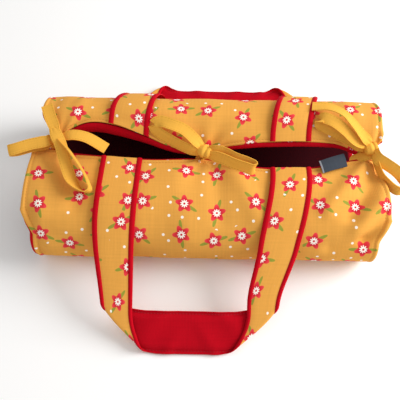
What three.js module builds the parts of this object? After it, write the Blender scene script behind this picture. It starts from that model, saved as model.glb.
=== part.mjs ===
// A soft, padded carrier for a loaf cake, lying closed on a table.
// X runs along the bag, Y from the front panel to the back panel, Z up.
// The origin is under the middle of the base.
import * as THREE from "three";

// The bag
const BASE_LENGTH = 358; // base panel, along X
const BASE_WIDTH = 158; // base panel, between its two folds
const TOP_LENGTH = 378; // panels, along X, from the shoulder up
const BULGE_WIDTH = 186; // over the fullest part of both panels
const BULGE_HEIGHT = 30;
const FRONT_CREST = { reach: 36, height: 70 }; // highest line of the front panel, from the middle plane
const BACK_CREST = { reach: 48, height: 83 };
const MOUTH_HEIGHT = 66; // where the tied edges meet
const MOUTH_Y = 8; // the mouth lies this far behind the middle plane
const TIED_GAP = 7; // between the edges at a bow
const SLACK_GAP = 33; // between the edges half way between two bows
const SLACK_RISE = 5; // how much the back edge stands up there
const FLARE_END = 0.45; // share of the panel's arc over which its ends spread from base length to top length

// Layers of each panel, from the outside in
const OUTER_THICKNESS = 0.8;
const WADDING_THICKNESS = 2.4;
const LINING_THICKNESS = 0.8;
const SEAM_ALLOWANCE = 6; // the wadding stops this far from a free edge
const CLEARANCE = 0.3; // between pieces that touch
const SEAT = 0.7; // between a panel and what is sewn on it, over the panel's flat facets

// Handles: a band with turned-up edges, and a printed strip between those edges
const STRAP_WIDTH = 43;
const STRAP_INSET = 102; // from the panel's end to the middle of a strap
const STRAP_CENTRE = TOP_LENGTH / 2 - STRAP_INSET;
const STRAP_LENGTH = 188; // from the mouth seam to the outer edge of the grip
const BAND_THICKNESS = 1.2;
const EDGE_WIDTH = 6;
const EDGE_HEIGHT = 1.4;
const STRIP_THICKNESS = 0.8;
const STRAP_CROWN = 0.2; // rise of a strap's middle over its edges
const FOLD_RADIUS = 2.2; // of the turned corners between strap and grip
const STRAP_END = 8; // sewn end of a strap, at the mouth seam
const STRAP_SETBACK = 2; // from the mouth edge to the sewn end
const LIFT_SHARE = 0.15; // share of a panel's arc over which a strap rises to its full lift
const FRONT_HANDLE = { side: -1, lift: 3, drift: -12 };
const BACK_HANDLE = { side: 1, lift: 4, drift: 18, fall: THREE.MathUtils.degToRad(86), bend: 7 };

// Tapes and their bows
const TAPE_WIDTH = 12.5;
const TAPE_THICKNESS = 1.2;
const TAPE_GATHER = 0.42; // share of its width that a tape keeps where it leaves the knot
const GATHER_LENGTH = 14;
const TIE_ROOT_LENGTH = 8;
const BACK_ROOT_SEAM = 9; // the back tapes are sewn on this far from the mouth edge
const KNOT = { width: 13, depth: 11, height: 9, lift: 3 };
const LOOP_LENGTH = 50; // of a full loop; the routes of the bows are shares of it
const TAIL_SPACING = 2.8; // between the two tails of the middle bow
const LEFT_BOW_INSET = 30; // from the panel's end to the knot
const RIGHT_BOW_INSET = 17;
const LEFT_BOW_X = LEFT_BOW_INSET - TOP_LENGTH / 2;
const CENTRE_BOW_X = 0;
const RIGHT_BOW_X = TOP_LENGTH / 2 - RIGHT_BOW_INSET;

// Label in the front mouth seam
const LABEL = { inset: 57, width: 27, thickness: 1.4, onPanel: 7, overMouth: 6, rise: 0.3 };

// Mesh fineness
const PANEL_COLUMNS = 20;
const PANEL_ROWS = 10;
const TAPE_STEPS = 14;
const NORMAL_STEP = 1.5; // a strap's normal is taken over this length to each side

const UP = new THREE.Vector3(0, 0, 1);
const FRONT = -1;
const BACK = 1;
const { lerp, clamp, smoothstep } = THREE.MathUtils;

// How slack the mouth is at x: 0 at a bow, 1 half way between two bows, and 0 past the end bows.
function slackness(x) {
  const span = x < 0 ? LEFT_BOW_X : RIGHT_BOW_X;
  return Math.sin(Math.PI * clamp(x / span, 0, 1)) ** 2;
}

// One panel's outer line in a plane across the bag, from the base fold up to the mouth edge.
// Its points are (distance from the middle plane towards the panel's own side, height).
class PanelProfile extends THREE.Curve {
  constructor(side, x) {
    super();
    const slack = slackness(x);
    const halfGap = lerp(TIED_GAP, SLACK_GAP, slack) / 2;
    this.crest = side === FRONT ? FRONT_CREST : BACK_CREST;
    this.edgeReach = side * MOUTH_Y + halfGap;
    this.edgeHeight = MOUTH_HEIGHT + (side === BACK ? SLACK_RISE * slack : 0);
  }

  getPoint(t, target = new THREE.Vector2()) {
    const wallEnd = 0.25;
    const archEnd = 0.7;
    const { reach, height } = this.crest;
    if (t < wallEnd) {
      const rise = t / wallEnd;
      const spread = (BULGE_WIDTH - BASE_WIDTH) / 2;
      return target.set(BASE_WIDTH / 2 + spread * Math.sin((rise * Math.PI) / 2), BULGE_HEIGHT * rise);
    }
    if (t < archEnd) {
      const turn = (((t - wallEnd) / (archEnd - wallEnd)) * Math.PI) / 2;
      const across = reach + (BULGE_WIDTH / 2 - reach) * Math.cos(turn);
      return target.set(across, BULGE_HEIGHT + (height - BULGE_HEIGHT) * Math.sin(turn));
    }
    const lip = (t - archEnd) / (1 - archEnd);
    return target.set(lerp(reach, this.edgeReach, lip), height - (height - this.edgeHeight) * lip ** 2);
  }
}

const profiles = new Map();

function profileAt(side, x) {
  const key = `${side} ${x}`;
  if (!profiles.has(key)) profiles.set(key, new PanelProfile(side, x));
  return profiles.get(key);
}

// A point of a panel's outer face: x along the bag, s along the arc from the base fold (0)
// to the mouth edge (1).
function panelPoint(side, x, s) {
  const p = profileAt(side, x).getPointAt(clamp(s, 0, 1));
  return new THREE.Vector3(x, side * p.x, p.y);
}

function panelNormal(side, x, s) {
  const step = 0.004;
  const along = panelPoint(side, x + 1, s).sub(panelPoint(side, x - 1, s));
  const upward = panelPoint(side, x, s + step).sub(panelPoint(side, x, s - step));
  return side === FRONT ? along.cross(upward).normalize() : upward.cross(along).normalize();
}

// A point above (lift > 0) or below a panel's outer face.
function overPanel(side, x, s, lift) {
  return panelPoint(side, x, s).addScaledVector(panelNormal(side, x, s), lift);
}

function halfLength(s) {
  return lerp(BASE_LENGTH, TOP_LENGTH, smoothstep(s, 0, FLARE_END)) / 2;
}

function panelLength(side, x) {
  return profileAt(side, x).getLength();
}

// A closed geometry from points and triangles, with its faces turned outwards.
function solid(points, triangles) {
  const cross = new THREE.Vector3();
  let volume = 0;
  for (const [a, b, c] of triangles) volume += points[a].dot(cross.crossVectors(points[b], points[c]));
  const index = triangles.flatMap(([a, b, c]) => (volume > 0 ? [a, b, c] : [a, c, b]));
  return new THREE.BufferGeometry().setFromPoints(points).setIndex(index);
}

// A solid through a row of sections of one outline, capped at both ends. Each four-sided cell is split along the
// diagonal that runs towards higher x, so that lofts that lie on each other stay parallel.
function loft(sections, outline) {
  const points = sections.flat();
  const count = outline.length;
  const last = points.length - count;
  const triangles = [];
  for (let row = 0; row < last; row += count) {
    for (let k = 0; k < count; k += 1) {
      const next = (k + 1) % count;
      const a = row + k;
      const b = row + next;
      const c = b + count;
      const d = a + count;
      if (outline[k].x < outline[next].x) triangles.push([a, b, c], [a, c, d]);
      else triangles.push([a, b, d], [b, c, d]);
    }
  }
  for (const [a, b, c] of THREE.ShapeUtils.triangulateShape(outline, [])) {
    triangles.push([a, c, b], [last + a, last + b, last + c]);
  }
  return solid(points, triangles);
}

// A sheet from two grids of points, outside and inside, each a list of columns.
// Both faces are split along the same diagonals, so that stacked sheets stay parallel.
function sheet(outside, inside) {
  const columns = outside.length - 1;
  const rows = outside[0].length - 1;
  const points = [...outside.flat(), ...inside.flat()];
  const half = points.length / 2;
  const at = (i, j) => i * (rows + 1) + j;
  const triangles = [];
  const wall = (a, b) => triangles.push([a, a + half, b + half], [a, b + half, b]);
  for (let i = 0; i < columns; i += 1) {
    for (let j = 0; j < rows; j += 1) {
      const corners = [at(i, j), at(i + 1, j), at(i + 1, j + 1), at(i, j + 1)];
      const [a, b, c, d] = corners;
      triangles.push([a, b, c], [a, c, d]);
      triangles.push([a + half, c + half, b + half], [a + half, d + half, c + half]);
    }
  }
  for (let i = 0; i < columns; i += 1) {
    wall(at(i, 0), at(i + 1, 0));
    wall(at(i + 1, rows), at(i, rows));
  }
  for (let j = 0; j < rows; j += 1) {
    wall(at(0, j + 1), at(0, j));
    wall(at(columns, j), at(columns, j + 1));
  }
  return solid(points, triangles);
}

// A whole panel's grid at a depth below its outer face. Its border is then drawn in along the surface,
// so that the facets of all layers stay parallel.
function panelGrid(side, depth, trim) {
  const grid = [];
  for (let i = 0; i <= PANEL_COLUMNS; i += 1) {
    const column = [];
    for (let j = 0; j <= PANEL_ROWS; j += 1) {
      const s = j / PANEL_ROWS;
      const x = lerp(-halfLength(s), halfLength(s), i / PANEL_COLUMNS);
      column.push(overPanel(side, x, s, -depth));
    }
    const cell = panelLength(side, 0) / PANEL_ROWS;
    column[0].lerp(column[1], trim.bottom / cell);
    column[PANEL_ROWS].lerp(column[PANEL_ROWS - 1], trim.top / cell);
    grid.push(column);
  }
  const cell = TOP_LENGTH / PANEL_COLUMNS;
  for (let j = 0; j <= PANEL_ROWS; j += 1) {
    grid[0][j].lerp(grid[1][j], trim.sides / cell);
    grid[PANEL_COLUMNS][j].lerp(grid[PANEL_COLUMNS - 1][j], trim.sides / cell);
  }
  return grid;
}

// A small sheet on a panel, between two heights over its outer face.
function patch(side, low, high, area, columns, rows) {
  const gridAt = (lift) => {
    const grid = [];
    for (let i = 0; i <= columns; i += 1) {
      const x = lerp(area.left, area.right, i / columns);
      const column = [];
      for (let j = 0; j <= rows; j += 1) {
        column.push(overPanel(side, x, lerp(area.from, area.to, j / rows), lift));
      }
      grid.push(column);
    }
    return grid;
  };
  return sheet(gridAt(high), gridAt(low));
}

// Depths of the three layers, from the outer face of the outer cloth
const LAYERS = {};
LAYERS.outer = { out: 0, in: OUTER_THICKNESS };
LAYERS.wadding = { out: LAYERS.outer.in + CLEARANCE };
LAYERS.wadding.in = LAYERS.wadding.out + WADDING_THICKNESS;
LAYERS.lining = { out: LAYERS.wadding.in + CLEARANCE };
LAYERS.lining.in = LAYERS.lining.out + LINING_THICKNESS;

// At the base folds each layer stops short, so that base and panel layers meet in a mitre.
const FOLD_TURN = Math.atan2(BULGE_HEIGHT, ((BULGE_WIDTH - BASE_WIDTH) / 2) * (Math.PI / 2));

function mitre(layer) {
  return layer.in * Math.tan(FOLD_TURN / 2) + CLEARANCE / 2;
}

const COLOURS = {
  print: { color: 0xe0a050, roughness: 0.9 },
  wadding: { color: 0xf2eee4, roughness: 1 },
  crimson: { color: 0xb8102a, roughness: 0.85 },
  tape: { color: 0xecb64a, roughness: 0.88 },
  label: { color: 0x3c4450, roughness: 0.8 },
};

const carrier = new THREE.Group();

function addPiece(name, geometry, colour) {
  const mesh = new THREE.Mesh(geometry, new THREE.MeshStandardMaterial({ ...COLOURS[colour], metalness: 0 }));
  mesh.name = name;
  carrier.add(mesh);
  return mesh;
}

// Base: three flat layers
const LAYER_COLOURS = { outer: "print", wadding: "wadding", lining: "crimson" };

for (const [name, layer] of Object.entries(LAYERS)) {
  const inset = name === "wadding" ? SEAM_ALLOWANCE : 0;
  const thickness = layer.in - layer.out;
  const cloth = new THREE.BoxGeometry(BASE_LENGTH - 2 * inset, BASE_WIDTH - 2 * mitre(layer), thickness);
  addPiece(`base_${name}`, cloth, LAYER_COLOURS[name]).position.z = (layer.in + layer.out) / 2;
}

// Front and back panels: the same three layers, curved
for (const [panel, side] of [["front", FRONT], ["back", BACK]]) {
  for (const [name, layer] of Object.entries(LAYERS)) {
    const inset = name === "wadding" ? SEAM_ALLOWANCE : 0;
    const trim = { bottom: mitre(layer), top: inset, sides: inset };
    const cloth = sheet(panelGrid(side, layer.out, trim), panelGrid(side, layer.in, trim));
    addPiece(`${panel}_${name}`, cloth, LAYER_COLOURS[name]);
  }
}

// The line that a strap follows in a plane across the bag, as points (distance outwards, height).
// It lies over the panel, leaves it where the panel falls as steeply as `fall`, and comes down to the table.
function strapLine(handle, fall, landing) {
  const { side, lift } = handle;
  const profile = profileAt(side, STRAP_CENTRE);
  const steps = 160;
  const start = 1 - STRAP_SETBACK / profile.getLength();
  const points = [];
  let slope = -Math.PI / 2;
  for (let i = 0; i <= steps && slope < fall; i += 1) {
    const s = start * (1 - i / steps);
    const tangent = profile.getTangentAt(s).negate();
    slope = Math.atan2(-tangent.y, tangent.x);
    const eased = lerp(SEAT + BAND_THICKNESS, lift, smoothstep(i / steps, 0, LIFT_SHARE));
    const normal = new THREE.Vector2(-tangent.y, tangent.x);
    points.push(profile.getPointAt(s).addScaledVector(normal, eased));
  }
  const leave = points.at(-1);
  const bend = handle.bend ?? 0;
  const drop = leave.y - landing - bend * (1 - Math.cos(fall));
  const foot = new THREE.Vector2(leave.x + drop / Math.tan(fall), leave.y - drop);
  points.push(foot);
  const arcSteps = 8;
  for (let i = 1; bend > 0 && i <= arcSteps; i += 1) {
    const angle = fall * (1 - i / arcSteps);
    const across = foot.x + bend * (Math.sin(fall) - Math.sin(angle));
    points.push(new THREE.Vector2(across, landing + bend * (1 - Math.cos(angle))));
  }
  return points;
}

function lengthOf(points) {
  let length = 0;
  for (let i = 1; i < points.length; i += 1) length += points[i].distanceTo(points[i - 1]);
  return length;
}

// The steepness at which a strap of the set length just reaches the table.
function fallFor(handle, landing) {
  let low = THREE.MathUtils.degToRad(12);
  let high = THREE.MathUtils.degToRad(80);
  for (let i = 0; i < 40; i += 1) {
    const middle = (low + high) / 2;
    if (lengthOf(strapLine(handle, middle, landing)) > STRAP_LENGTH) low = middle;
    else high = middle;
  }
  return (low + high) / 2;
}

// The point at a length along a line of points. Past either end, the line goes straight on.
function pointOn(points, length) {
  let rest = length;
  let i = 1;
  while (i < points.length - 1 && rest > points[i].distanceTo(points[i - 1])) {
    rest -= points[i].distanceTo(points[i - 1]);
    i += 1;
  }
  const direction = points[i].clone().sub(points[i - 1]).normalize();
  return points[i - 1].clone().addScaledVector(direction, rest);
}

// Point and outward normal of a line of points, at a length along it.
function alongLine(points, length) {
  const before = pointOn(points, length - NORMAL_STEP);
  const direction = pointOn(points, length + NORMAL_STEP).sub(before).normalize();
  return { point: pointOn(points, length), normal: new THREE.Vector2(-direction.y, direction.x) };
}

// One handle as a flat ribbon, turned under at two corners and laid along the strap line.
// A ribbon place is (length along it, across it, height over it); height > 0 is the printed face.
class Handle {
  constructor(options) {
    this.options = options;
    const landing = 2 * FOLD_RADIUS + EDGE_HEIGHT + CLEARANCE;
    const fall = options.fall ?? fallFor(options, landing);
    this.line = strapLine(options, fall, landing);
    const short = STRAP_LENGTH - lengthOf(this.line);
    const end = this.line.at(-1);
    if (short > 0) this.line.push(new THREE.Vector2(end.x + short, end.y));
    this.wrap = Math.PI * FOLD_RADIUS;
    this.corner = STRAP_LENGTH - STRAP_WIDTH / 2 - this.wrap / Math.SQRT2;
    this.middle = this.corner + STRAP_CENTRE + this.wrap / Math.SQRT2;
  }

  place(along, across, height, mirror) {
    const past = (along - this.corner - across) / Math.SQRT2;
    const beside = (along - this.corner + across) / Math.SQRT2;
    let shifted = past;
    let raised = height;
    if (past > this.wrap) {
      shifted = this.wrap - past;
      raised = -2 * FOLD_RADIUS - height;
    } else if (past > 0) {
      const turn = past / FOLD_RADIUS;
      shifted = (FOLD_RADIUS + height) * Math.sin(turn);
      raised = (FOLD_RADIUS + height) * Math.cos(turn) - FOLD_RADIUS;
    }
    const x = -STRAP_CENTRE + (beside - shifted) / Math.SQRT2;
    const length = this.corner + (beside + shifted) / Math.SQRT2;
    const { point, normal } = alongLine(this.line, length);
    const drift = this.options.drift * clamp(length / STRAP_LENGTH, 0, 1) ** 2;
    const out = point.addScaledVector(normal, raised);
    return new THREE.Vector3(mirror * x + drift, this.options.side * out.x, out.y);
  }

  // Places along the left half, with the slant that keeps each section parallel to the turned corner.
  stations(start) {
    const { corner, wrap, middle } = this;
    const wrapEnd = corner + wrap * Math.SQRT2;
    const list = [];
    const strapSteps = 20;
    for (let i = 0; i <= strapSteps; i += 1) {
      const along = lerp(start, corner, i / strapSteps);
      list.push({ along, slant: smoothstep(along, corner - STRAP_WIDTH, corner) });
    }
    const wrapSteps = 5;
    for (let i = 1; i <= wrapSteps; i += 1) {
      list.push({ along: lerp(corner, wrapEnd, i / wrapSteps), slant: 1 });
    }
    const gripSteps = 4;
    for (let i = 1; i <= gripSteps; i += 1) {
      list.push({ along: lerp(wrapEnd, middle, i / gripSteps), slant: 1 - i / gripSteps });
    }
    return list;
  }

  // A solid with the given outline (across, height) along the whole ribbon.
  sweep(outline, start) {
    const section = (station, mirror) =>
      outline.map((p) => this.place(station.along + station.slant * p.x, p.x, p.y, mirror));
    const left = this.stations(start);
    const right = left.slice(0, -1).reverse();
    const sections = [...left.map((s) => section(s, 1)), ...right.map((s) => section(s, -1))];
    return loft(sections, outline);
  }
}

function outline(...corners) {
  return corners.map(([across, height]) => new THREE.Vector2(across, height));
}

const HALF_STRAP = STRAP_WIDTH / 2;
const INNER_EDGE = HALF_STRAP - EDGE_WIDTH;
const HALF_STRIP = INNER_EDGE - CLEARANCE;
const STRIP_TOP = CLEARANCE + STRIP_THICKNESS;

// Places across a strap, between its edges, with a slight crown in the middle
function crowned(height) {
  const shares = [-0.75, -0.5, -0.25, 0, 0.25, 0.5, 0.75];
  return shares.map((share) => [share * INNER_EDGE, height + STRAP_CROWN * (1 - share * share)]);
}

const BAND_OUTLINE = outline(
  [-HALF_STRAP, -BAND_THICKNESS],
  [-INNER_EDGE, -BAND_THICKNESS],
  ...crowned(-BAND_THICKNESS),
  [INNER_EDGE, -BAND_THICKNESS],
  [HALF_STRAP, -BAND_THICKNESS],
  [HALF_STRAP, EDGE_HEIGHT],
  [INNER_EDGE, EDGE_HEIGHT],
  [INNER_EDGE, 0],
  ...crowned(0).reverse(),
  [-INNER_EDGE, 0],
  [-INNER_EDGE, EDGE_HEIGHT],
  [-HALF_STRAP, EDGE_HEIGHT],
);
const STRIP_OUTLINE = outline(
  [-HALF_STRIP, CLEARANCE],
  ...crowned(CLEARANCE),
  [HALF_STRIP, CLEARANCE],
  [HALF_STRIP, STRIP_TOP],
  ...crowned(STRIP_TOP).reverse(),
  [-HALF_STRIP, STRIP_TOP],
);

for (const [name, options] of [["front", FRONT_HANDLE], ["back", BACK_HANDLE]]) {
  const handle = new Handle(options);
  const bandStart = STRAP_END + SEAT;
  addPiece(`${name}_handle_band`, handle.sweep(BAND_OUTLINE, bandStart), "crimson");
  addPiece(`${name}_handle_printed_strip`, handle.sweep(STRIP_OUTLINE, bandStart), "print");
  for (const [end, mirror] of [["left", -1], ["right", 1]]) {
    const { side } = options;
    const x = mirror * STRAP_CENTRE;
    const arc = panelLength(side, x);
    const area = {
      left: x - HALF_STRAP,
      right: x + HALF_STRAP,
      from: 1 - (STRAP_SETBACK + STRAP_END) / arc,
      to: 1 - STRAP_SETBACK / arc,
    };
    const cloth = patch(side, SEAT, SEAT + BAND_THICKNESS + EDGE_HEIGHT, area, 4, 2);
    addPiece(`${name}_handle_${end}_end`, cloth, "crimson");
  }
}

const TAPE_OUTLINE = outline([-1, -1], [1, -1], [1, 1], [-1, 1]);

// A tape along a route of points. Its width lies along `widthAt(direction of the route)`.
// It is gathered at the ends named in `gathered`, where it leaves the knot.
function tape(route, widthAt, gathered, steps = TAPE_STEPS) {
  const curve = new THREE.CatmullRomCurve3(route, false, "centripetal");
  const length = curve.getLength();
  const sections = [];
  for (let i = 0; i <= steps; i += 1) {
    const t = i / steps;
    const fromStart = gathered.start ? t * length : Infinity;
    const fromEnd = gathered.end ? (1 - t) * length : Infinity;
    const spread = lerp(TAPE_GATHER, 1, smoothstep(Math.min(fromStart, fromEnd), 0, GATHER_LENGTH));
    const middle = curve.getPointAt(t);
    const direction = curve.getTangentAt(t);
    const width = widthAt(direction).normalize();
    const thick = new THREE.Vector3().crossVectors(direction, width).normalize();
    width.multiplyScalar((TAPE_WIDTH * spread) / 2);
    thick.multiplyScalar(TAPE_THICKNESS / 2);
    const corner = (p) => middle.clone().addScaledVector(width, p.x).addScaledVector(thick, p.y);
    sections.push(TAPE_OUTLINE.map(corner));
  }
  return loft(sections, TAPE_OUTLINE);
}

// A tail lies flat on what is under it.
const flat = (direction) => new THREE.Vector3().crossVectors(UP, direction);

// A loop keeps its width square to the plane that it turns in.
const fixed = (x, y, z) => () => new THREE.Vector3(x, y, z);

function knotCentre(x) {
  const edge = panelPoint(BACK, x, 1);
  return edge.add(new THREE.Vector3(0, -TIED_GAP / 4, KNOT.lift + KNOT.height / 2));
}

// A place beside a knot, in shares of a loop's length from its centre.
function overKnot(x, along, across, up) {
  return knotCentre(x).add(new THREE.Vector3(along, across, up).multiplyScalar(LOOP_LENGTH));
}

function addKnot(name, x) {
  const knot = new THREE.SphereGeometry(0.5, 14, 9).scale(KNOT.width, KNOT.depth, KNOT.height);
  const centre = knotCentre(x);
  addPiece(name, knot, "tape").position.copy(centre);
}

// A place on the knot's surface, a clearance away from it. Both angles are in degrees.
function atKnot(x, heading, climb) {
  const turn = THREE.MathUtils.degToRad(heading);
  const rise = THREE.MathUtils.degToRad(climb);
  const away = CLEARANCE + TAPE_THICKNESS / 2;
  return knotCentre(x).add(
    new THREE.Vector3(
      (KNOT.width / 2 + away) * Math.cos(turn) * Math.cos(rise),
      (KNOT.depth / 2 + away) * Math.sin(turn) * Math.cos(rise),
      (KNOT.height / 2 + away) * Math.sin(rise),
    ),
  );
}

// A place `back` millimetres from a panel's mouth edge, lifted off the panel.
function nearEdge(side, x, back, lift) {
  return overPanel(side, x, 1 - back / panelLength(side, x), lift);
}

// A place on the way of a bow's tape: along the bag from its knot, back from the mouth edge
// and off the panel, each as a share of a loop's length.
function beside(side, bowX, along, back, lift) {
  return nearEdge(side, bowX + along * LOOP_LENGTH, back * LOOP_LENGTH, lift * LOOP_LENGTH);
}

// The root of a tape runs from its seam to the knot.
function addTieRoot(name, side, x, seam, climb) {
  const lift = SEAT + TAPE_THICKNESS / 2;
  const route = [
    nearEdge(side, x, seam + TIE_ROOT_LENGTH, lift),
    nearEdge(side, x, seam + TIE_ROOT_LENGTH / 2, lift),
    nearEdge(side, x, seam, lift),
    atKnot(x, side * 90, climb),
  ];
  addPiece(name, tape(route, flat, { end: true }, 6), "tape");
}

// A tail that drops through the mouth under its knot, by a share of a loop's length.
function addTuckedTail(name, x, y, drop) {
  const top = knotCentre(x).z - KNOT.height / 2 - CLEARANCE;
  const route = [0, 0.5, 1].map((share) => new THREE.Vector3(x, y, top - share * drop * LOOP_LENGTH));
  addPiece(name, tape(route, fixed(1, 0, 0), ONE_END, 8), "tape");
}

const BOWS = [["left", LEFT_BOW_X], ["centre", CENTRE_BOW_X], ["right", RIGHT_BOW_X]];
const ONE_END = { start: true };
const BOTH_ENDS = { start: true, end: true };

for (const [name, x] of BOWS) {
  addKnot(`${name}_bow_knot`, x);
  addTieRoot(`${name}_bow_front_root`, FRONT, x, 0, -42);
  addTieRoot(`${name}_bow_back_root`, BACK, x, BACK_ROOT_SEAM, -5);
}

// Left bow
addPiece(
  "left_bow_back_tail",
  tape(
    [
      atKnot(LEFT_BOW_X, 110, 25),
      beside(BACK, LEFT_BOW_X, -0.12, 0.32, 0.14),
      beside(BACK, LEFT_BOW_X, -0.24, 0.68, 0.09),
      beside(BACK, LEFT_BOW_X, -0.36, 1, 0.07),
    ],
    flat,
    ONE_END,
  ),
  "tape",
);
addPiece(
  "left_bow_outer_loop",
  tape(
    [
      atKnot(LEFT_BOW_X, 180, 24),
      beside(FRONT, LEFT_BOW_X, -0.44, 0, 0.26),
      beside(FRONT, LEFT_BOW_X, -0.84, 0.02, 0.2),
      beside(FRONT, LEFT_BOW_X, -1.02, 0.06, 0.12),
      beside(FRONT, LEFT_BOW_X, -0.82, 0.02, 0.08),
      beside(FRONT, LEFT_BOW_X, -0.44, 0, 0.11),
      atKnot(LEFT_BOW_X, 180, -22),
    ],
    fixed(0, 1, 0),
    BOTH_ENDS,
    22,
  ),
  "tape",
);
addPiece(
  "left_bow_inner_tail",
  tape(
    [
      atKnot(LEFT_BOW_X, -10, 8),
      overKnot(LEFT_BOW_X, 0.4, 0.02, 0.05),
      overKnot(LEFT_BOW_X, 0.72, 0.02, 0.02),
      overKnot(LEFT_BOW_X, 1.04, 0, -0.05),
    ],
    flat,
    ONE_END,
  ),
  "tape",
);
addPiece(
  "left_bow_front_loop",
  tape(
    [
      atKnot(LEFT_BOW_X, -66, 24),
      beside(FRONT, LEFT_BOW_X, 0.3, 0.28, 0.2),
      beside(FRONT, LEFT_BOW_X, 0.56, 0.68, 0.2),
      beside(FRONT, LEFT_BOW_X, 0.72, 0.94, 0.18),
      beside(FRONT, LEFT_BOW_X, 0.48, 0.8, 0.18),
      beside(FRONT, LEFT_BOW_X, 0.14, 0.4, 0.2),
      atKnot(LEFT_BOW_X, -112, 10),
    ],
    fixed(0, 0.3, 1),
    BOTH_ENDS,
    22,
  ),
  "tape",
);

// Centre bow
addPiece(
  "centre_bow_back_loop",
  tape(
    [
      atKnot(CENTRE_BOW_X, 170, 32),
      beside(BACK, CENTRE_BOW_X, -0.48, 0.48, 0.24),
      beside(BACK, CENTRE_BOW_X, -0.88, 0.6, 0.22),
      beside(BACK, CENTRE_BOW_X, -1.1, 0.56, 0.16),
      beside(BACK, CENTRE_BOW_X, -0.88, 0.34, 0.12),
      beside(BACK, CENTRE_BOW_X, -0.48, 0.2, 0.14),
      atKnot(CENTRE_BOW_X, 172, -8),
    ],
    fixed(0.2, 0.75, 0.55),
    BOTH_ENDS,
    22,
  ),
  "tape",
);
addPiece(
  "centre_bow_front_loop",
  tape(
    [
      atKnot(CENTRE_BOW_X, -25, 14),
      beside(FRONT, CENTRE_BOW_X, 0.44, 0, 0.26),
      beside(FRONT, CENTRE_BOW_X, 0.84, 0.12, 0.18),
      beside(FRONT, CENTRE_BOW_X, 1.02, 0.18, 0.12),
      beside(FRONT, CENTRE_BOW_X, 0.8, 0.16, 0.07),
      beside(FRONT, CENTRE_BOW_X, 0.44, 0.06, 0.09),
      atKnot(CENTRE_BOW_X, -45, -18),
    ],
    fixed(0.3, 0.95, 0.1),
    BOTH_ENDS,
    22,
  ),
  "tape",
);
addTuckedTail("centre_bow_short_tail", CENTRE_BOW_X, MOUTH_Y - TAIL_SPACING / 2, 0.44);
addTuckedTail("centre_bow_long_tail", CENTRE_BOW_X, MOUTH_Y + TAIL_SPACING / 2, 0.68);

// Right bow
addPiece(
  "right_bow_back_tail",
  tape(
    [
      atKnot(RIGHT_BOW_X, 84, 28),
      beside(BACK, RIGHT_BOW_X, -0.2, 0.56, 0.16),
      beside(BACK, RIGHT_BOW_X, -0.64, 0.84, 0.08),
      beside(BACK, RIGHT_BOW_X, -1.04, 1.08, 0.07),
    ],
    flat,
    ONE_END,
  ),
  "tape",
);
addPiece(
  "right_bow_back_loop",
  tape(
    [
      atKnot(RIGHT_BOW_X, 150, 38),
      beside(BACK, RIGHT_BOW_X, -0.44, 0.24, 0.24),
      beside(BACK, RIGHT_BOW_X, -0.76, 0.4, 0.21),
      beside(BACK, RIGHT_BOW_X, -0.92, 0.46, 0.14),
      beside(BACK, RIGHT_BOW_X, -0.74, 0.36, 0.09),
      beside(BACK, RIGHT_BOW_X, -0.4, 0.16, 0.1),
      atKnot(RIGHT_BOW_X, 165, -15),
    ],
    fixed(0.45, 0.85, 0.1),
    BOTH_ENDS,
    22,
  ),
  "tape",
);
addPiece(
  "right_bow_front_loop",
  tape(
    [
      atKnot(RIGHT_BOW_X, -40, 20),
      beside(FRONT, RIGHT_BOW_X, 0.3, 0.2, 0.24),
      beside(FRONT, RIGHT_BOW_X, 0.54, 0.44, 0.18),
      beside(FRONT, RIGHT_BOW_X, 0.66, 0.58, 0.1),
      beside(FRONT, RIGHT_BOW_X, 0.5, 0.48, 0.06),
      beside(FRONT, RIGHT_BOW_X, 0.24, 0.24, 0.09),
      atKnot(RIGHT_BOW_X, -55, -15),
    ],
    fixed(0.7, 0.7, 0.1),
    BOTH_ENDS,
    22,
  ),
  "tape",
);
addTuckedTail("right_bow_tucked_tail", RIGHT_BOW_X, MOUTH_Y, 0.56);

// Label: a folded ribbon in the front mouth seam, partly on the panel and partly over the mouth
function labelGrid(lift) {
  const columns = 3;
  const rows = [-LABEL.onPanel, -LABEL.onPanel / 2, 0, LABEL.overMouth];
  const grid = [];
  for (let i = 0; i <= columns; i += 1) {
    const x = TOP_LENGTH / 2 - LABEL.inset + LABEL.width * (i / columns - 0.5);
    grid.push(rows.map((out) => {
      const past = Math.max(out, 0);
      return nearEdge(FRONT, x, Math.max(-out, 0), lift).add(new THREE.Vector3(0, past, LABEL.rise * past));
    }));
  }
  return grid;
}

addPiece("woven_label", sheet(labelGrid(SEAT + LABEL.thickness), labelGrid(SEAT)), "label");

export default carrier;
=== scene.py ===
# %% [markdown]
# # A soft carrier for a loaf cake
# The carrier is a padded cotton bag that lies closed on a table. Its printed outside and its crimson lining
# are sewn round a thin wadding, two wide handles start in the mouth seam, and three tape bows hold the
# mouth shut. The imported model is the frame: it fixes every size and place, and this script gives each piece
# its looks.

# %% Load the frame
import math

import bpy
import numpy as np
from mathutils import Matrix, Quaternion, Vector


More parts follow.
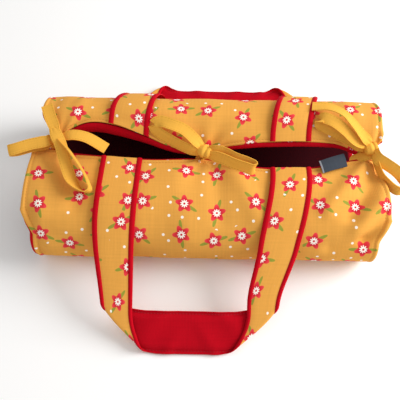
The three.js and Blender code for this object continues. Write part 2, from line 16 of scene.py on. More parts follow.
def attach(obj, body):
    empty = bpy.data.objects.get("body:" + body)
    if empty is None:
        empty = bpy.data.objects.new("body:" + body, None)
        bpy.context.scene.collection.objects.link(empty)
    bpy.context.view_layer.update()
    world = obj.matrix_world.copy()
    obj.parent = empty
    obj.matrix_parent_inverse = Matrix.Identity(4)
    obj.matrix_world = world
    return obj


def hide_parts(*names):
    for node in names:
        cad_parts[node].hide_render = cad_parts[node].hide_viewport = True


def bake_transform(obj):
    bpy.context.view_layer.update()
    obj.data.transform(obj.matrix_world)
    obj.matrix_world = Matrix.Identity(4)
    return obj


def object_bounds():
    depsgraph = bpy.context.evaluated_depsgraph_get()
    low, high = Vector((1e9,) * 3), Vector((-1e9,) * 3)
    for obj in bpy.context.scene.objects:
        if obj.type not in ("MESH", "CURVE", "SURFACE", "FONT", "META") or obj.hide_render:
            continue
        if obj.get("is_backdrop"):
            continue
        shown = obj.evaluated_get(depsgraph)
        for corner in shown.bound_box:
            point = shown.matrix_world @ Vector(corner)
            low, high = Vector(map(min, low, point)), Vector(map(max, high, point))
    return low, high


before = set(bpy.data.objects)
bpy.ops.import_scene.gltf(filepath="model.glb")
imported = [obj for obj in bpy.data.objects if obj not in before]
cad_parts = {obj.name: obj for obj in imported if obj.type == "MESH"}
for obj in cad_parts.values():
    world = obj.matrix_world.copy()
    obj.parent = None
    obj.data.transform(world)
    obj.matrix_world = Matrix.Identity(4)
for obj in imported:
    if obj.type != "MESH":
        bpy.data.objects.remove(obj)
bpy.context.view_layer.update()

# %% [markdown]
# Cloth is easiest to think of flat. Every cloth piece below starts as a flat grid, is laid on the bag by a
# rule that says where each point of the flat cloth goes, and keeps its flat place as a UV map called "cut".
# The print and the weave read that map, so they follow the cloth round every fold, as on the sewn bag. All
# sizes are in millimetres and become metres when a mesh is written.

# %% Helpers that lay cloth
MM = 0.001
FRONT = -1
BACK = 1
SIDE_NAMES = {FRONT: "front", BACK: "back"}
SMOOTH_UP_TO = math.radians(50)  # sharper edges than this stay sharp


def ramp(value, start, end):
    """0 up to start, 1 from end on, and smooth between them."""
    share = np.clip((value - start) / (end - start), 0, 1)
    return share * share * (3 - 2 * share)


def mix(low, high, share):
    return low + (high - low) * share


def unit(vectors):
    return vectors / np.linalg.norm(vectors, axis=-1, keepdims=True)


def write_cut(mesh, cut):
    """Writes each vertex's place on the flat cloth as the mesh's UV map."""
    corners = np.empty(len(mesh.loops), dtype=np.int32)
    mesh.loops.foreach_get("vertex_index", corners)
    mesh.uv_layers[0].name = "cut"
    mesh.uv_layers[0].data.foreach_set("uv", (cut.reshape(-1, 2)[corners] * MM).ravel())
    mesh.update()


def lay_cloth(name, points, cut, thickness, offset=-1.0):
    """A grid primitive with its vertices at points (rows, columns, 3) and their flat places in cut."""
    rows, columns = points.shape[:2]
    bpy.ops.object.select_all(action="DESELECT")
    bpy.ops.mesh.primitive_grid_add(x_subdivisions=columns - 1, y_subdivisions=rows - 1, size=1)
    piece = bpy.context.object
    piece.name = name
    piece.data.vertices.foreach_set("co", (points * MM).ravel())
    write_cut(piece.data, cut)
    solid = piece.modifiers.new("Solidify", "SOLIDIFY")
    solid.thickness = thickness * MM
    solid.offset = offset
    solid.use_even_offset = False
    bpy.ops.object.modifier_apply(modifier=solid.name)
    bpy.ops.object.shade_smooth_by_angle(angle=SMOOTH_UP_TO)
    return piece


print("one unit of cloth is", MM, "m")

# %% [markdown]
# The bag's two long panels rise from folds at the edges of the base, bulge, arch over the cake and end in a
# lip at the mouth. Across the bag that is a wall, an arch and a lip. Along the bag the lip moves: the bows
# hold the edges together, and between them the mouth gapes. The mouth edges are lists of places, because
# they lie as chance had it. Straight lines between the places are rounded off.

# %% The mouth
MOUTH_LINE = {  # (x, y) along the mouth edges
    FRONT: [(-200, 13), (-172, 14.5), (-160, 14.5), (-140, 8), (-112, 4.5), (-90, 2), (-50, 1.5), (-30, 2.5),
            (-14, 6), (0, 6), (10, 2.5), (30, -2), (56, -7), (107, -6.5), (124, -3), (146, 4), (165, 7),
            (200, 6.5)],
    BACK: [(-200, 16), (-172, 16.5), (-160, 19), (-145, 30), (-130, 36), (-114, 36.5), (-92, 31.5),
           (-61, 21), (-50, 16), (-32, 10.5), (-16, 9), (0, 9.5), (19, 13), (57, 16.3), (97, 17.5), (138, 18),
           (150, 14.5), (160, 10.5), (200, 10)],
}
MOUTH_ROUNDING = 12  # how far each way the line is averaged
TIED_GAP = 3
SLACK_GAP = 30


def mouth_edge(side, x):
    """y of a mouth edge at each x."""
    places, values = np.array(MOUTH_LINE[side]).T
    steps = np.linspace(-MOUTH_ROUNDING, MOUTH_ROUNDING, 9)
    weights = 1 + np.cos(math.pi * steps / (MOUTH_ROUNDING + 2))
    near = np.interp(np.asarray(x, float)[..., None] + steps, places, values)
    return (near * weights).sum(axis=-1) / weights.sum()


def slackness(x):
    """0 where a bow holds the mouth, up to 1 where it gapes most."""
    gap = mouth_edge(BACK, x) - mouth_edge(FRONT, x)
    return np.clip((gap - TIED_GAP) / (SLACK_GAP - TIED_GAP), 0, 1)


print("slackness at five places:", slackness(np.linspace(-160, 160, 5)).round(2))

# %% [markdown]
# The section of a panel is a formula in three stretches. It is worked out in the plane at each x, and its
# sharp fold at the base is then rounded, because padding can't fold sharply.

# %% Section of a panel
BASE_WIDTH = 158
BASE_MARGIN = 40  # the panel cloths reach this far under the bag
BULGE_WIDTH = 186
BULGE_HEIGHT = 30
CREST = {FRONT: (36, 70), BACK: (48, 83)}  # highest line: (out from the middle, up)
MOUTH_HEIGHT = 66
WALL_END = 0.25  # shares of the way from base fold to mouth
ARCH_END = 0.7
SLACK_RISE = 10  # the slack back lip stands higher
LIP_CURL = 3  # and turns up a little
RIGHT_SPLAY = 13  # the back panel's right corner stands back behind its bow
SPLAY_RISE = 0.7  # height that it gains for each mm
SPLAY_FROM = 168
SPLAY_TO = 190
FOLD_SOFTNESS = 4
FOLD_REACH = 9


def panel_line(side, x):
    """Points (out, height) of a panel in the plane at x, from under the base to the mouth edge."""
    slack = slackness(x)
    reach, height = CREST[side]
    edge_reach = side * mouth_edge(side, x)
    edge_height = MOUTH_HEIGHT
    curl = 0
    if side == BACK:
        splay = RIGHT_SPLAY * ramp(x, SPLAY_FROM, SPLAY_TO)
        curl = LIP_CURL * slack
        edge_reach += splay
        edge_height += SLACK_RISE * slack + SPLAY_RISE * splay
    t = np.linspace(0, 1, 301)
    rise = np.clip(t / WALL_END, 0, 1)
    turn = np.clip((t - WALL_END) / (ARCH_END - WALL_END), 0, 1) * math.pi / 2
    lip = np.clip((t - ARCH_END) / (1 - ARCH_END), 0, 1)
    wall_out = BASE_WIDTH / 2 + (BULGE_WIDTH - BASE_WIDTH) / 2 * np.sin(rise * math.pi / 2)
    arch_out = reach + (BULGE_WIDTH / 2 - reach) * np.cos(turn)
    lip_out = mix(reach, edge_reach, lip)
    arch_up = BULGE_HEIGHT + (height - BULGE_HEIGHT) * np.sin(turn)
    lip_up = height - (height - edge_height) * lip**2 + curl * ramp(lip, 0.45, 1.05)
    out = np.where(t < WALL_END, wall_out, np.where(t < ARCH_END, arch_out, lip_out))
    up = np.where(t < WALL_END, BULGE_HEIGHT * rise, np.where(t < ARCH_END, arch_up, lip_up))
    under = np.arange(BASE_WIDTH / 2 - BASE_MARGIN, BASE_WIDTH / 2, 1.0)
    return np.concatenate([under, out]), np.concatenate([0 * under, up])


def lengths_along(*columns):
    steps = np.sqrt(sum(np.diff(column) ** 2 for column in columns))
    return np.concatenate([[0], np.cumsum(steps)])


def blurred(values, softness, **padding):
    reach = 3 * softness
    kernel = np.exp(-0.5 * (np.arange(-reach, reach + 1) / softness) ** 2)
    return np.convolve(np.pad(values, reach, **padding), kernel / kernel.sum(), mode="valid")


def soft_fold(out, up):
    """The same line with its sharp base fold rounded, at steps of 1 mm."""
    length = lengths_along(out, up)
    place = np.append(np.arange(0, length[-1], 1.0), length[-1])
    near_fold = np.exp(-(((place - BASE_MARGIN) / FOLD_REACH) ** 2))
    line = []
    for column in (out, up):
        sampled = np.interp(place, length, column)
        line.append(mix(sampled, blurred(sampled, FOLD_SOFTNESS, mode="edge"), near_fold))
    return place, line[0], line[1]


print("front panel, middle:", round(soft_fold(*panel_line(FRONT, 0))[0][-1]), "mm from margin to mouth")

# %% [markdown]
# Padded cotton doesn't lie like sheet metal. Each bow gathers the cloth into small pleats that run out from
# its knot and sinks it into a dimple, the ends of the panels crease where the base draws them in, and the
# rest has faint waves. They are moves along the cloth's own normal, which is what a sculpting brush does.

# %% Folds in the cloth
PUCKER = 2.2
PUCKER_REACH = 24
DIMPLE = 2.5
DIMPLE_REACH = 22
PULL_BACK = 3  # a bow pulls from a little past the mouth edge
PLEATS = {-159: (8, 0.6), -2: (7, 2.2), 172: (8, 1.4)}  # by the bow's x: pleats round it, and their turn
CREASES = {  # between two places (x, mm up from the base fold), with a width and a height
    FRONT: [
        ((-180, 84), (-166, 30), 6, -4.5), ((-160, 60), (-120, 40), 12, -2.5),
        ((184, 86), (160, 60), 6, -6.0), ((174, 62), (126, 50), 7, -3.5),
        ((176, 100), (150, 74), 8, 3.5), ((166, 146), (122, 92), 9, 4.5),
        ((180, 138), (146, 84), 8, -4.5), ((-150, 140), (-132, 92), 9, -3.0),
        ((-172, 132), (-166, 84), 10, 2.0), ((-30, 130), (-20, 60), 14, 1.6),
        ((26, 138), (50, 84), 12, 3.0), ((8, 128), (14, 80), 9, -2.0),
    ],
    BACK: [
        ((-156, 140), (-136, 92), 7, 2.0), ((-168, 138), (-166, 84), 8, -2.0),
        ((164, 142), (152, 92), 10, 2.0), ((-172, 60), (-158, 8), 9, -3.0),
        ((182, 60), (164, 8), 9, -3.0),
    ],
}


def near_line(x, up, start, end):
    """Distance from each place to a straight line on the flat cloth."""
    run = np.subtract(end, start)
    share = np.clip(((x - start[0]) * run[0] + (up - start[1]) * run[1]) / (run @ run), 0, 1)
    return np.hypot(x - start[0] - share * run[0], up - start[1] - share * run[1])


def folds(side, x, edge, up):
    """How far the cloth stands off its plain shape, edge mm from the mouth and up mm from the base fold."""
    lift = 0.5 * np.sin(x / 23 + 1.3) * np.sin(up / 29 + 0.4) + 0.35 * np.sin(x / 12 - up / 17)
    for bow_x, (pleats, turn) in PLEATS.items():
        reach = np.hypot(x - bow_x, edge + PULL_BACK)
        angle = np.arctan2(edge + PULL_BACK, x - bow_x)
        pleat = PUCKER * np.cos(pleats * angle + turn) * np.exp(-reach / PUCKER_REACH)
        lift += pleat * ramp(reach, 3, 16) - DIMPLE * np.exp(-((reach / DIMPLE_REACH) ** 2))
    for start, end, width, height in CREASES[side]:
        lift += height * np.exp(-((near_line(x, up, start, end) / width) ** 2))
    return lift * ramp(up, -4, 14)


print("creases:", {name: len(CREASES[side]) for side, name in SIDE_NAMES.items()})

# %% [markdown]
# The section and the folds together give the outer face of a panel. It is kept as a table of points and
# normals, so that straps, label and stitches can ask where the cloth lies, at any place and any height over
# it.

# %% Table of each panel's outer face
TABLE_REACH = 200
TABLE_STEP = 2.5
BASE_ROWS = 16
PANEL_ROWS = 64
PAST_EDGE = 4


class Panel:
    """The outer face of a panel. q runs from -1 under the base over 0 at the base fold to 1 at the mouth."""

    def __init__(self, side):
        self.side = side
        self.x = np.arange(-TABLE_REACH, TABLE_REACH + 1, TABLE_STEP)
        self.q = np.concatenate([np.arange(-BASE_ROWS, 0) / BASE_ROWS, np.linspace(0, 1, PANEL_ROWS + 1)])
        columns = []
        arcs = []
        for x in self.x:
            place, out, up = soft_fold(*panel_line(side, x))
            arc = place[-1] - BASE_MARGIN
            wanted = BASE_MARGIN + np.where(self.q < 0, BASE_MARGIN, arc) * self.q
            y, z = side * np.interp(wanted, place, out), np.interp(wanted, place, up)
            columns.append(np.stack([np.full(len(wanted), x), y, z], axis=-1))
            arcs.append(arc)
        self.points = np.array(columns)
        self.arcs = np.array(arcs)
        up = np.where(self.q < 0, BASE_MARGIN, self.arcs[:, None]) * self.q
        lift = folds(side, self.points[..., 0], self.arcs[:, None] - up, up)
        self.points = self.points + self.facing() * lift[..., None]
        self.normals = self.facing()
        self.go_past_edge()

    def facing(self):
        along = np.gradient(self.points, axis=0)
        upward = np.gradient(self.points, axis=1)
        return unit(-self.side * np.cross(along, upward))

    def go_past_edge(self):
        """A few rows straight on past the mouth edge, for what hangs over it."""
        step = self.points[:, -1] - self.points[:, -2]
        for row in range(1, PAST_EDGE + 1):
            self.q = np.append(self.q, 1 + row / PANEL_ROWS)
            self.points = np.append(self.points, (self.points[:, -1] + step)[:, None], axis=1)
            self.normals = np.append(self.normals, self.normals[:, -1:], axis=1)

    def arc(self, x):
        return np.interp(x, self.x, self.arcs)

    def back_from_mouth(self, x, distance):
        return 1 - distance / self.arc(x)

    def on(self, x, q, lift=0.0):
        """Points over the panel's face at places x along the bag and q up the panel."""
        x, q, lift = np.broadcast_arrays(*(np.asarray(values, float) for values in (x, q, lift)))
        i = np.clip(np.searchsorted(self.x, x) - 1, 0, len(self.x) - 2)
        j = np.clip(np.searchsorted(self.q, q) - 1, 0, len(self.q) - 2)
        a = ((x - self.x[i]) / (self.x[i + 1] - self.x[i]))[..., None]
        b = ((q - self.q[j]) / (self.q[j + 1] - self.q[j]))[..., None]
        read = []
        for table in (self.points, self.normals):
            low = mix(table[i, j], table[i + 1, j], a)
            high = mix(table[i, j + 1], table[i + 1, j + 1], a)
            read.append(mix(low, high, b))
        return read[0] + unit(read[1]) * lift[..., None]

    def normal(self, x, q):
        return self.on(x, q, 1.0) - self.on(x, q, 0.0)


panels = {side: Panel(side) for side in SIDE_NAMES}
for side, panel in panels.items():
    print(SIDE_NAMES[side], "panel: arc", panel.arcs.min().round(1), "to", panel.arcs.max().round(1), "mm")

# %% [markdown]
# Each finish is a small node tree. One function adds a node and links it, one starts a material, and one
# turns a screen colour into the linear light that shaders use.

# %% Nodes and colours
def add(tree, kind, inputs=None, **settings):
    """Adds a node and sets it up. An input gets a value, or a link to a socket or a node's first output."""
    node = tree.nodes.new("ShaderNode" + kind)
    for name, value in settings.items():
        setattr(node, name, value)
    for key, value in (inputs or {}).items():
        if isinstance(value, bpy.types.Node):
            value = value.outputs[0]
        if isinstance(value, bpy.types.NodeSocket):
            tree.links.new(value, node.inputs[key])
        else:
            node.inputs[key].default_value = value
    return node


def start_material(name, constants):
    """A material, its node tree and its shader, whose named inputs get constant values."""
    material = bpy.data.materials.new(name)
    material.use_nodes = True
    shader = material.node_tree.nodes["Principled BSDF"]
    for socket, value in constants.items():
        shader.inputs[socket].default_value = value
    return material, material.node_tree, shader


def colour(hex_code):
    """Linear RGBA of an sRGB colour such as "e8a24a"."""
    shades = [int(hex_code[k : k + 2], 16) / 255 for k in (0, 2, 4)]
    return [s / 12.92 if s <= 0.04045 else ((s + 0.055) / 1.055) ** 2.4 for s in shades] + [1.0]


CRIMSON = "ba0017"
print("crimson in linear light:", [round(share, 3) for share in colour(CRIMSON)])

# %% [markdown]
# Plain-woven cotton is matt, because its fibres scatter light. It has two sets of threads that cross, and
# slubs, the faint streaks of thicker yarn. The threads are a bump and the slubs a change of shade. The
# bands of the handles are this cloth, dyed crimson.

# %% Woven cotton
THREAD = 1.5  # mm between threads; about four times the real one, so that the weave shows
WAVE_SCALE = 0.314  # of a wave texture with one band per unit
STREAK_ACROSS = 1.1  # slubs change fast across the yarn and slowly along it
STREAK_ALONG = 0.05


def cut_place(tree):
    """The place on the flat cloth, in millimetres."""
    flat = add(tree, "UVMap", uv_map="cut")
    return add(tree, "VectorMath", {0: flat, "Scale": 1 / MM}, operation="SCALE")


def weave(tree, place, thread):
    """Two crossing sets of threads as one height, and slubs along both as one share around 1."""
    heights = []
    slubs = []
    for direction, stretch in (
        ("X", (STREAK_ACROSS, STREAK_ALONG, 1.0)), ("Y", (STREAK_ALONG, STREAK_ACROSS, 1.0))
    ):
        wave = add(tree, "TexWave", {"Vector": place, "Scale": WAVE_SCALE / thread, "Distortion": 0.6},
                   bands_direction=direction)
        heights.append(wave.outputs["Fac"])
        drawn = add(tree, "VectorMath", {0: place, 1: stretch}, operation="MULTIPLY")
        noise = add(tree, "TexNoise", {"Vector": drawn, "Scale": 0.7 / thread, "Detail": 2.0})
        slubs.append(noise.outputs["Fac"])
    return [add(tree, "Math", {0: pair[0], 1: pair[1]}, operation="ADD") for pair in (heights, slubs)]


def cotton(name, make_colour, thread=THREAD, slub_depth=0.06, roughness=0.9, sheen=0.0):
    """Woven cotton. Its colour is a hex code, or a function of the tree and the place on the cloth."""
    material, tree, shader = start_material(name, {
        "Roughness": roughness, "Sheen Weight": sheen, "Sheen Roughness": 0.5, "Specular IOR Level": 0.12})
    place = cut_place(tree)
    height, slub = weave(tree, place, thread)
    shade = add(tree, "MapRange", {
        "Value": slub, "From Min": 0.6, "From Max": 1.4, "To Min": 1 - slub_depth, "To Max": 1 + slub_depth})
    base = colour(make_colour) if isinstance(make_colour, str) else make_colour(tree, place)
    streaked = add(tree, "MixRGB", {"Fac": 1.0, "Color1": base, "Color2": shade}, blend_type="MULTIPLY")
    tree.links.new(streaked.outputs[0], shader.inputs["Base Color"])
    bump = add(tree, "Bump", {"Height": height, "Strength": 0.14, "Distance": 0.0004})
    tree.links.new(bump.outputs[0], shader.inputs["Normal"])
    return material


crimson_cotton = cotton("crimson cotton", CRIMSON, slub_depth=0.08)
print("crimson cotton:", len(crimson_cotton.node_tree.nodes), "nodes")

# %% [markdown]
# The lining is the same crimson cotton. Its rim at the mouth and at the ends catches the light and looks
# bright. Further in it is never lit and looks almost black, so shade is painted into its colour: it deepens
# to almost black away from the rim.

# %% Lining cotton, with painted shade
# painted shade: the almost black crimson of the lining where little light reaches it
PAINTED_SHADE_CRIMSON = "3a010a"
PANEL_CUT = 154  # flat length of the lining from base fold to mouth
MOUTH_CUT = BASE_WIDTH / 2 + PANEL_CUT
RIM_TO_FULL_PAINTED_SHADE = 22  # from the mouth edge to where the painted shade is full, and to where there is none
RIM_TO_NO_PAINTED_SHADE = 10
END_FULL_PAINTED_SHADE = 168.0  # the same, from the middle of the bag
END_NO_PAINTED_SHADE = 172.0


# Painted shade: crimson at the mouth rim and at the ends, deepening to almost black further in.
def lining_crimson_with_painted_shade(tree, place):
    parts = add(tree, "SeparateXYZ", {0: place})
    along, up = (add(tree, "Math", {0: parts.outputs[k]}, operation="ABSOLUTE") for k in (0, 1))
    at_mouth = add(tree, "MapRange", {
        "Value": up, "From Min": MOUTH_CUT - RIM_TO_FULL_PAINTED_SHADE, "From Max": MOUTH_CUT - RIM_TO_NO_PAINTED_SHADE})
    at_end = add(tree, "MapRange", {"Value": along, "From Min": END_FULL_PAINTED_SHADE, "From Max": END_NO_PAINTED_SHADE})
    rim = add(tree, "Math", {0: at_mouth, 1: at_end}, operation="MAXIMUM")
    return add(tree, "MixRGB", {"Fac": rim, "Color1": colour(PAINTED_SHADE_CRIMSON), "Color2": colour(CRIMSON)})


lining_cotton_painted_shade = cotton("lining cotton with painted shade", lining_crimson_with_painted_shade, slub_depth=0.08)
print("lining cotton with painted shade:", len(lining_cotton_painted_shade.node_tree.nodes), "nodes")

# %% [markdown]
# The tapes are strips of plain mustard cotton, folded and stitched along both edges. The stitches are too
# fine to model on a thin tape, so they are drawn: a darker line, broken at every stitch.

# %% Mustard tape
TAPE_MUSTARD = "efb146"
THREAD_MUSTARD = "dc9f3a"
TAPE_SEAM = 4.9  # from a tape's middle to its stitches
STITCH_PITCH = 3.2
STITCH_SHARE = 0.7  # of the pitch that thread covers


def stitched_tape(tree, place):
    parts = add(tree, "SeparateXYZ", {0: place})
    away = add(tree, "Math", {0: parts.outputs[1]}, operation="ABSOLUTE")
    near = add(tree, "Math", {0: away, 1: TAPE_SEAM, 2: 0.35}, operation="COMPARE")
    beat = add(tree, "Math", {0: parts.outputs[0], 1: STITCH_PITCH}, operation="MODULO")
    covered = add(tree, "Math", {0: beat, 1: STITCH_SHARE * STITCH_PITCH}, operation="LESS_THAN")
    mask = add(tree, "Math", {0: near, 1: covered}, operation="MULTIPLY")
    return add(tree, "MixRGB", {
        "Fac": mask, "Color1": colour(TAPE_MUSTARD), "Color2": colour(THREAD_MUSTARD)})


tape_cotton = cotton("mustard tape", stitched_tape, thread=1.2, slub_depth=0.08)
print("mustard tape:", len(tape_cotton.node_tree.nodes), "nodes")

# %% [markdown]
# The outside and the handle strips are printed. The ink soaks into the threads, so it is as matt as the cloth
# and its edges are soft. Every shape of ink is worked out from a distance and a radius: dots have a fixed
# radius, and petals and leaves have one that swells as it goes round.

# %% Shapes of ink
DOT_SPACING = 17.0
DOT_RADIUS = 1.6
DOT_CLEARANCE = 11.5  # from a blossom's middle to the nearest dot
SHARPNESS = 3.0  # how fast a printed edge turns from one ink to the next, per mm


def inside(tree, radius, distance):
    """1 where distance is under radius, with an edge as soft as print on cloth."""
    room = add(tree, "Math", {0: radius, 1: distance}, operation="SUBTRACT")
    return add(tree, "Math", {0: room, 1: SHARPNESS}, operation="MULTIPLY", use_clamp=True)


def wavy(tree, angle, count, shift, middle, swing):
    """A radius that swells `count` times round."""
    turned = add(tree, "Math", {0: angle, 1: float(count), 2: shift}, operation="MULTIPLY_ADD")
    swell = add(tree, "Math", {0: turned}, operation="COSINE")
    return add(tree, "Math", {0: swell, 1: swing, 2: middle}, operation="MULTIPLY_ADD")


def dotted(tree, place, distance):
    """1 on the small dots, in about half of their cells and clear of the blossoms."""
    dots = add(tree, "TexVoronoi", {"Vector": place, "Scale": 1 / DOT_SPACING, "Randomness": 0.9},
               voronoi_dimensions="2D")
    away = add(tree, "Math", {0: dots.outputs["Distance"], 1: DOT_SPACING}, operation="MULTIPLY")
    chance = add(tree, "SeparateColor", {0: dots.outputs["Color"]})
    radius = add(tree, "MapRange", {
        "Value": chance, "From Min": 0.45, "From Max": 0.5, "To Min": 0.0, "To Max": DOT_RADIUS})
    clear = add(tree, "Math", {0: distance, 1: DOT_CLEARANCE}, operation="GREATER_THAN")
    return add(tree, "Math", {0: inside(tree, radius, away), 1: clear}, operation="MULTIPLY")


print("one dot in about", round(2 * DOT_SPACING**2), "square mm")

# %% [markdown]
# The print is a common kind: small tossed blossoms. A Voronoi texture scatters one blossom per cell. The way
# from a pixel to its cell's middle gives a distance and an angle, and five petals are a circle whose radius
# swells five times round. Leaves and eyes follow the same idea.

# %% Printed cotton
CLOTH_MUSTARD = "e6a44a"
WHITE_INK = "fff6ea"
BLOSSOM_SPACING = 36.0
PETAL_RADIUS = 7.6
EYE_RADIUS = 3.6
HEART_RADIUS = 1.3
LEAF_REACH = 15.0
LEAF_SLIMNESS = 7.0
FULL_TURN = 6.283


def blossoms(tree, place):
    cells = add(tree, "TexVoronoi", {"Vector": place, "Scale": 1 / BLOSSOM_SPACING, "Randomness": 0.45},
                voronoi_dimensions="2D")
    way = add(tree, "VectorMath", {0: place, 1: cells.outputs["Position"]}, operation="SUBTRACT")
    distance = add(tree, "VectorMath", {0: way}, operation="LENGTH").outputs["Value"]
    parts = add(tree, "SeparateXYZ", {0: way})
    chance = add(tree, "SeparateColor", {0: cells.outputs["Color"]})
    angle = add(tree, "Math", {0: parts.outputs[1], 1: parts.outputs[0]}, operation="ARCTAN2")
    spin = add(tree, "Math", {0: chance, 1: FULL_TURN, 2: angle}, operation="MULTIPLY_ADD")
    lobe = add(tree, "Math", {0: wavy(tree, spin, 2, 0.7, 0.0, 1.0), 1: 0.0}, operation="MAXIMUM")
    slim = add(tree, "Math", {0: lobe, 1: LEAF_SLIMNESS}, operation="POWER")
    leaf = add(tree, "Math", {0: slim, 1: LEAF_REACH}, operation="MULTIPLY")
    petal_ink = add(tree, "MapRange", {"Value": distance, "From Min": 3.0, "From Max": 9.0})
    inks = [
        (inside(tree, leaf, distance), colour("96993a")),
        (dotted(tree, place, distance), colour(WHITE_INK)),
        (inside(tree, wavy(tree, spin, 5, 0.0, PETAL_RADIUS, 1.9), distance),
         add(tree, "MixRGB", {"Fac": petal_ink, "Color1": colour("c9182c"), "Color2": colour("f0474c")})),
        (inside(tree, wavy(tree, spin, 10, 0.0, EYE_RADIUS, 0.9), distance), colour(WHITE_INK)),
        (inside(tree, HEART_RADIUS, distance), colour("d0202f")),
    ]
    printed = colour(CLOTH_MUSTARD)
    for mask, ink in inks:
        printed = add(tree, "MixRGB", {"Fac": mask, "Color1": printed, "Color2": ink})
    return printed


printed_cotton = cotton("printed cotton", blossoms)
print("printed cotton:", len(printed_cotton.node_tree.nodes), "nodes")

# %% [markdown]
# A panel is three layers: the printed outside, the wadding and the lining. At a free edge the cloths go
# round the wadding and meet in a seam. At the ends the outside goes right round. At the mouth the lining is
# drawn over the edge, so that a thin crimson rim shows. An elliptical turn of the last few millimetres of
# each cloth does this.

# %% Edges of the padded panels
PAD = 4.6  # whole thickness of a panel
RIM = 2.3
LINING_RIM = 1.9
TURN_LENGTH = 3.6  # length of cloth that goes round an end
SEAM_FROM_EDGE = 5.0
NEAR_EDGE = np.array([0, 0.6, 1.2, 1.8, 2.4, 3.0, 3.6, 4.4, 5.2, 6.0, 6.8, 7.8, 9.5])
LIP_ROLL = {-1: 7.5, 1: 2.5}  # the lining rolls out over the slack back lip, left and right


def go_round(place, length, turn, reach, depth):
    """Distance from the panel's edge, and sinking, of cloth `place` mm from its own edge.

    The last `length` mm of the cloth turn through `turn` degrees."""
    angle = np.radians(turn) * np.clip(1 - place / length, 0, 1)
    distance = RIM - reach * np.sin(angle) + np.maximum(place - length, 0)
    return distance, depth * (1 - np.cos(angle))


def end_turn(lining, rolled):
    """How a cloth goes round at an end. Where it is rolled, the lining stands out and shows."""
    if lining:
        length, reach = TURN_LENGTH + 3.4 * rolled, LINING_RIM + 2.2 * rolled
        return go_round(NEAR_EDGE, length, 95 + 70 * rolled, reach, LINING_RIM)
    return go_round(NEAR_EDGE, TURN_LENGTH + 0 * rolled, 90, RIM, RIM)


def mouth_turn(lining, place, roll):
    """How a cloth goes round at the mouth."""
    if lining:
        return go_round(place, 7.0, 170, RIM + roll, 2.15)
    distance, sink = go_round(place, 1.6, 40, RIM, RIM)
    return distance + 0.9, sink


def left_roll(side, q):
    """Where the lining rolls out past the front panel's left end."""
    return ramp(q, 0.08, 0.16) * (1 - ramp(q, 0.42, 0.54)) if side == FRONT else 0 * q


def mouth_roll(side, x):
    """How far the lining stands over the mouth edge, in mm."""
    if side == BACK:
        return 1.2 + np.where(x < 0, LIP_ROLL[-1], LIP_ROLL[1]) * slackness(x)
    return 0.8 + 2.0 * np.exp(-(((x - 88) / 44) ** 2)) + 0.4 * np.exp(-(((x + 90) / 50) ** 2))


def seam_shape(distance):
    """The stitched line pulls the cloth in, and the turned allowance fills it out beside the edge."""
    groove = -0.55 * np.exp(-(((distance - SEAM_FROM_EDGE) / 1.1) ** 2))
    return groove + 0.3 * np.exp(-(((distance - 2.9) / 1.3) ** 2))


print("lining over the front edge:", mouth_roll(FRONT, np.array([-90, 0, 88])).round(1), "mm")

# %% [markdown]
# The layers are grids whose columns run from end to end and whose rows run from under the base to the
# mouth, close together at the edges. The base draws the ends in, and some corners at the mouth are tucked
# in.

# %% One layer of a panel
PANEL_ARC = 155  # about a panel's length from base fold to mouth, where it needn't be exact
BASE_HALF = 175
TOP_HALF = {(FRONT, -1): 186.5, (FRONT, 1): 186.5, (BACK, -1): 177, (BACK, 1): 187}  # by side and end
MOUTH_TUCK = {(FRONT, -1): 1, (FRONT, 1): 5, (BACK, -1): 13, (BACK, 1): 1}
WIDEN_FROM = {FRONT: 0.37, BACK: 0.18}  # share of the way up where the ends start to widen
WIDEN_LENGTH = 0.165
INNER_SHARES = np.linspace(0, 1, 124)[1:-1]
INNER_ROWS = 50
UNDER_ROWS = 12


def half_length(side, end, q):
    drawn_in = mix(BASE_HALF, TOP_HALF[side, end], np.clip((q - WIDEN_FROM[side]) / WIDEN_LENGTH, 0, 1))
    return drawn_in - MOUTH_TUCK[side, end] * ramp(q, 0.7, 0.95)


def between_ends(left_half, right_half, left, right):
    """x and sinking of rows from end to end; left and right are the turned ends as (distance, sinking)."""
    first = left[0] - left_half
    last = (right_half - right[0])[..., ::-1]
    inner = mix(first[..., -1:], last[..., :1], INNER_SHARES)
    x = np.concatenate([first, inner, last], axis=-1)
    return x, np.concatenate([left[1], 0 * inner, right[1][..., ::-1]], axis=-1)


def panel_layer(side, lining):
    """Points and flat places of the printed cloth or the lining of one panel."""
    panel = panels[side]
    under = np.linspace(-1, 0, UNDER_ROWS, endpoint=False)
    inner = np.linspace(0, 1, INNER_ROWS)
    from_mouth = NEAR_EDGE[::-1][1:]
    turn_start = 1 - NEAR_EDGE[-1] / PANEL_ARC
    rough = np.concatenate([under, inner * turn_start, 1 - from_mouth / PANEL_ARC])[:, None]
    halves = half_length(side, -1, rough), half_length(side, 1, rough)
    x, end_sink = between_ends(*halves, end_turn(lining, left_roll(side, rough)), end_turn(lining, 0 * rough))
    arc = panel.arc(x)
    mouth_place = np.concatenate([np.full(len(under) + len(inner), NEAR_EDGE[-1]), from_mouth])[:, None]
    mouth_distance, mouth_sink = mouth_turn(lining, mouth_place, mouth_roll(side, x))
    share = np.concatenate([under, inner, np.ones(len(from_mouth))])[:, None]
    q = share * np.where(share < 0, 1, 1 - mouth_distance / arc)
    from_edge = np.where(q < 0, np.inf, (1 - q) * arc)
    free = np.minimum(np.minimum(x + halves[0], halves[1] - x), from_edge)
    sink = np.maximum(end_sink, np.where(rough > turn_start, mouth_sink, 0))
    droop = 0.06 * np.maximum(-free, 0) ** 2
    lift = sink - PAD - droop if lining else seam_shape(free) - sink
    flat = BASE_WIDTH / 2 + np.where(q < 0, BASE_MARGIN, PANEL_CUT if lining else arc) * q
    return panel.on(x, q, lift), np.stack(np.broadcast_arrays(x, side * flat), axis=-1)


print("half lengths at mid height:", {key: half_length(*key, 0.5).round(1) for key in TOP_HALF})
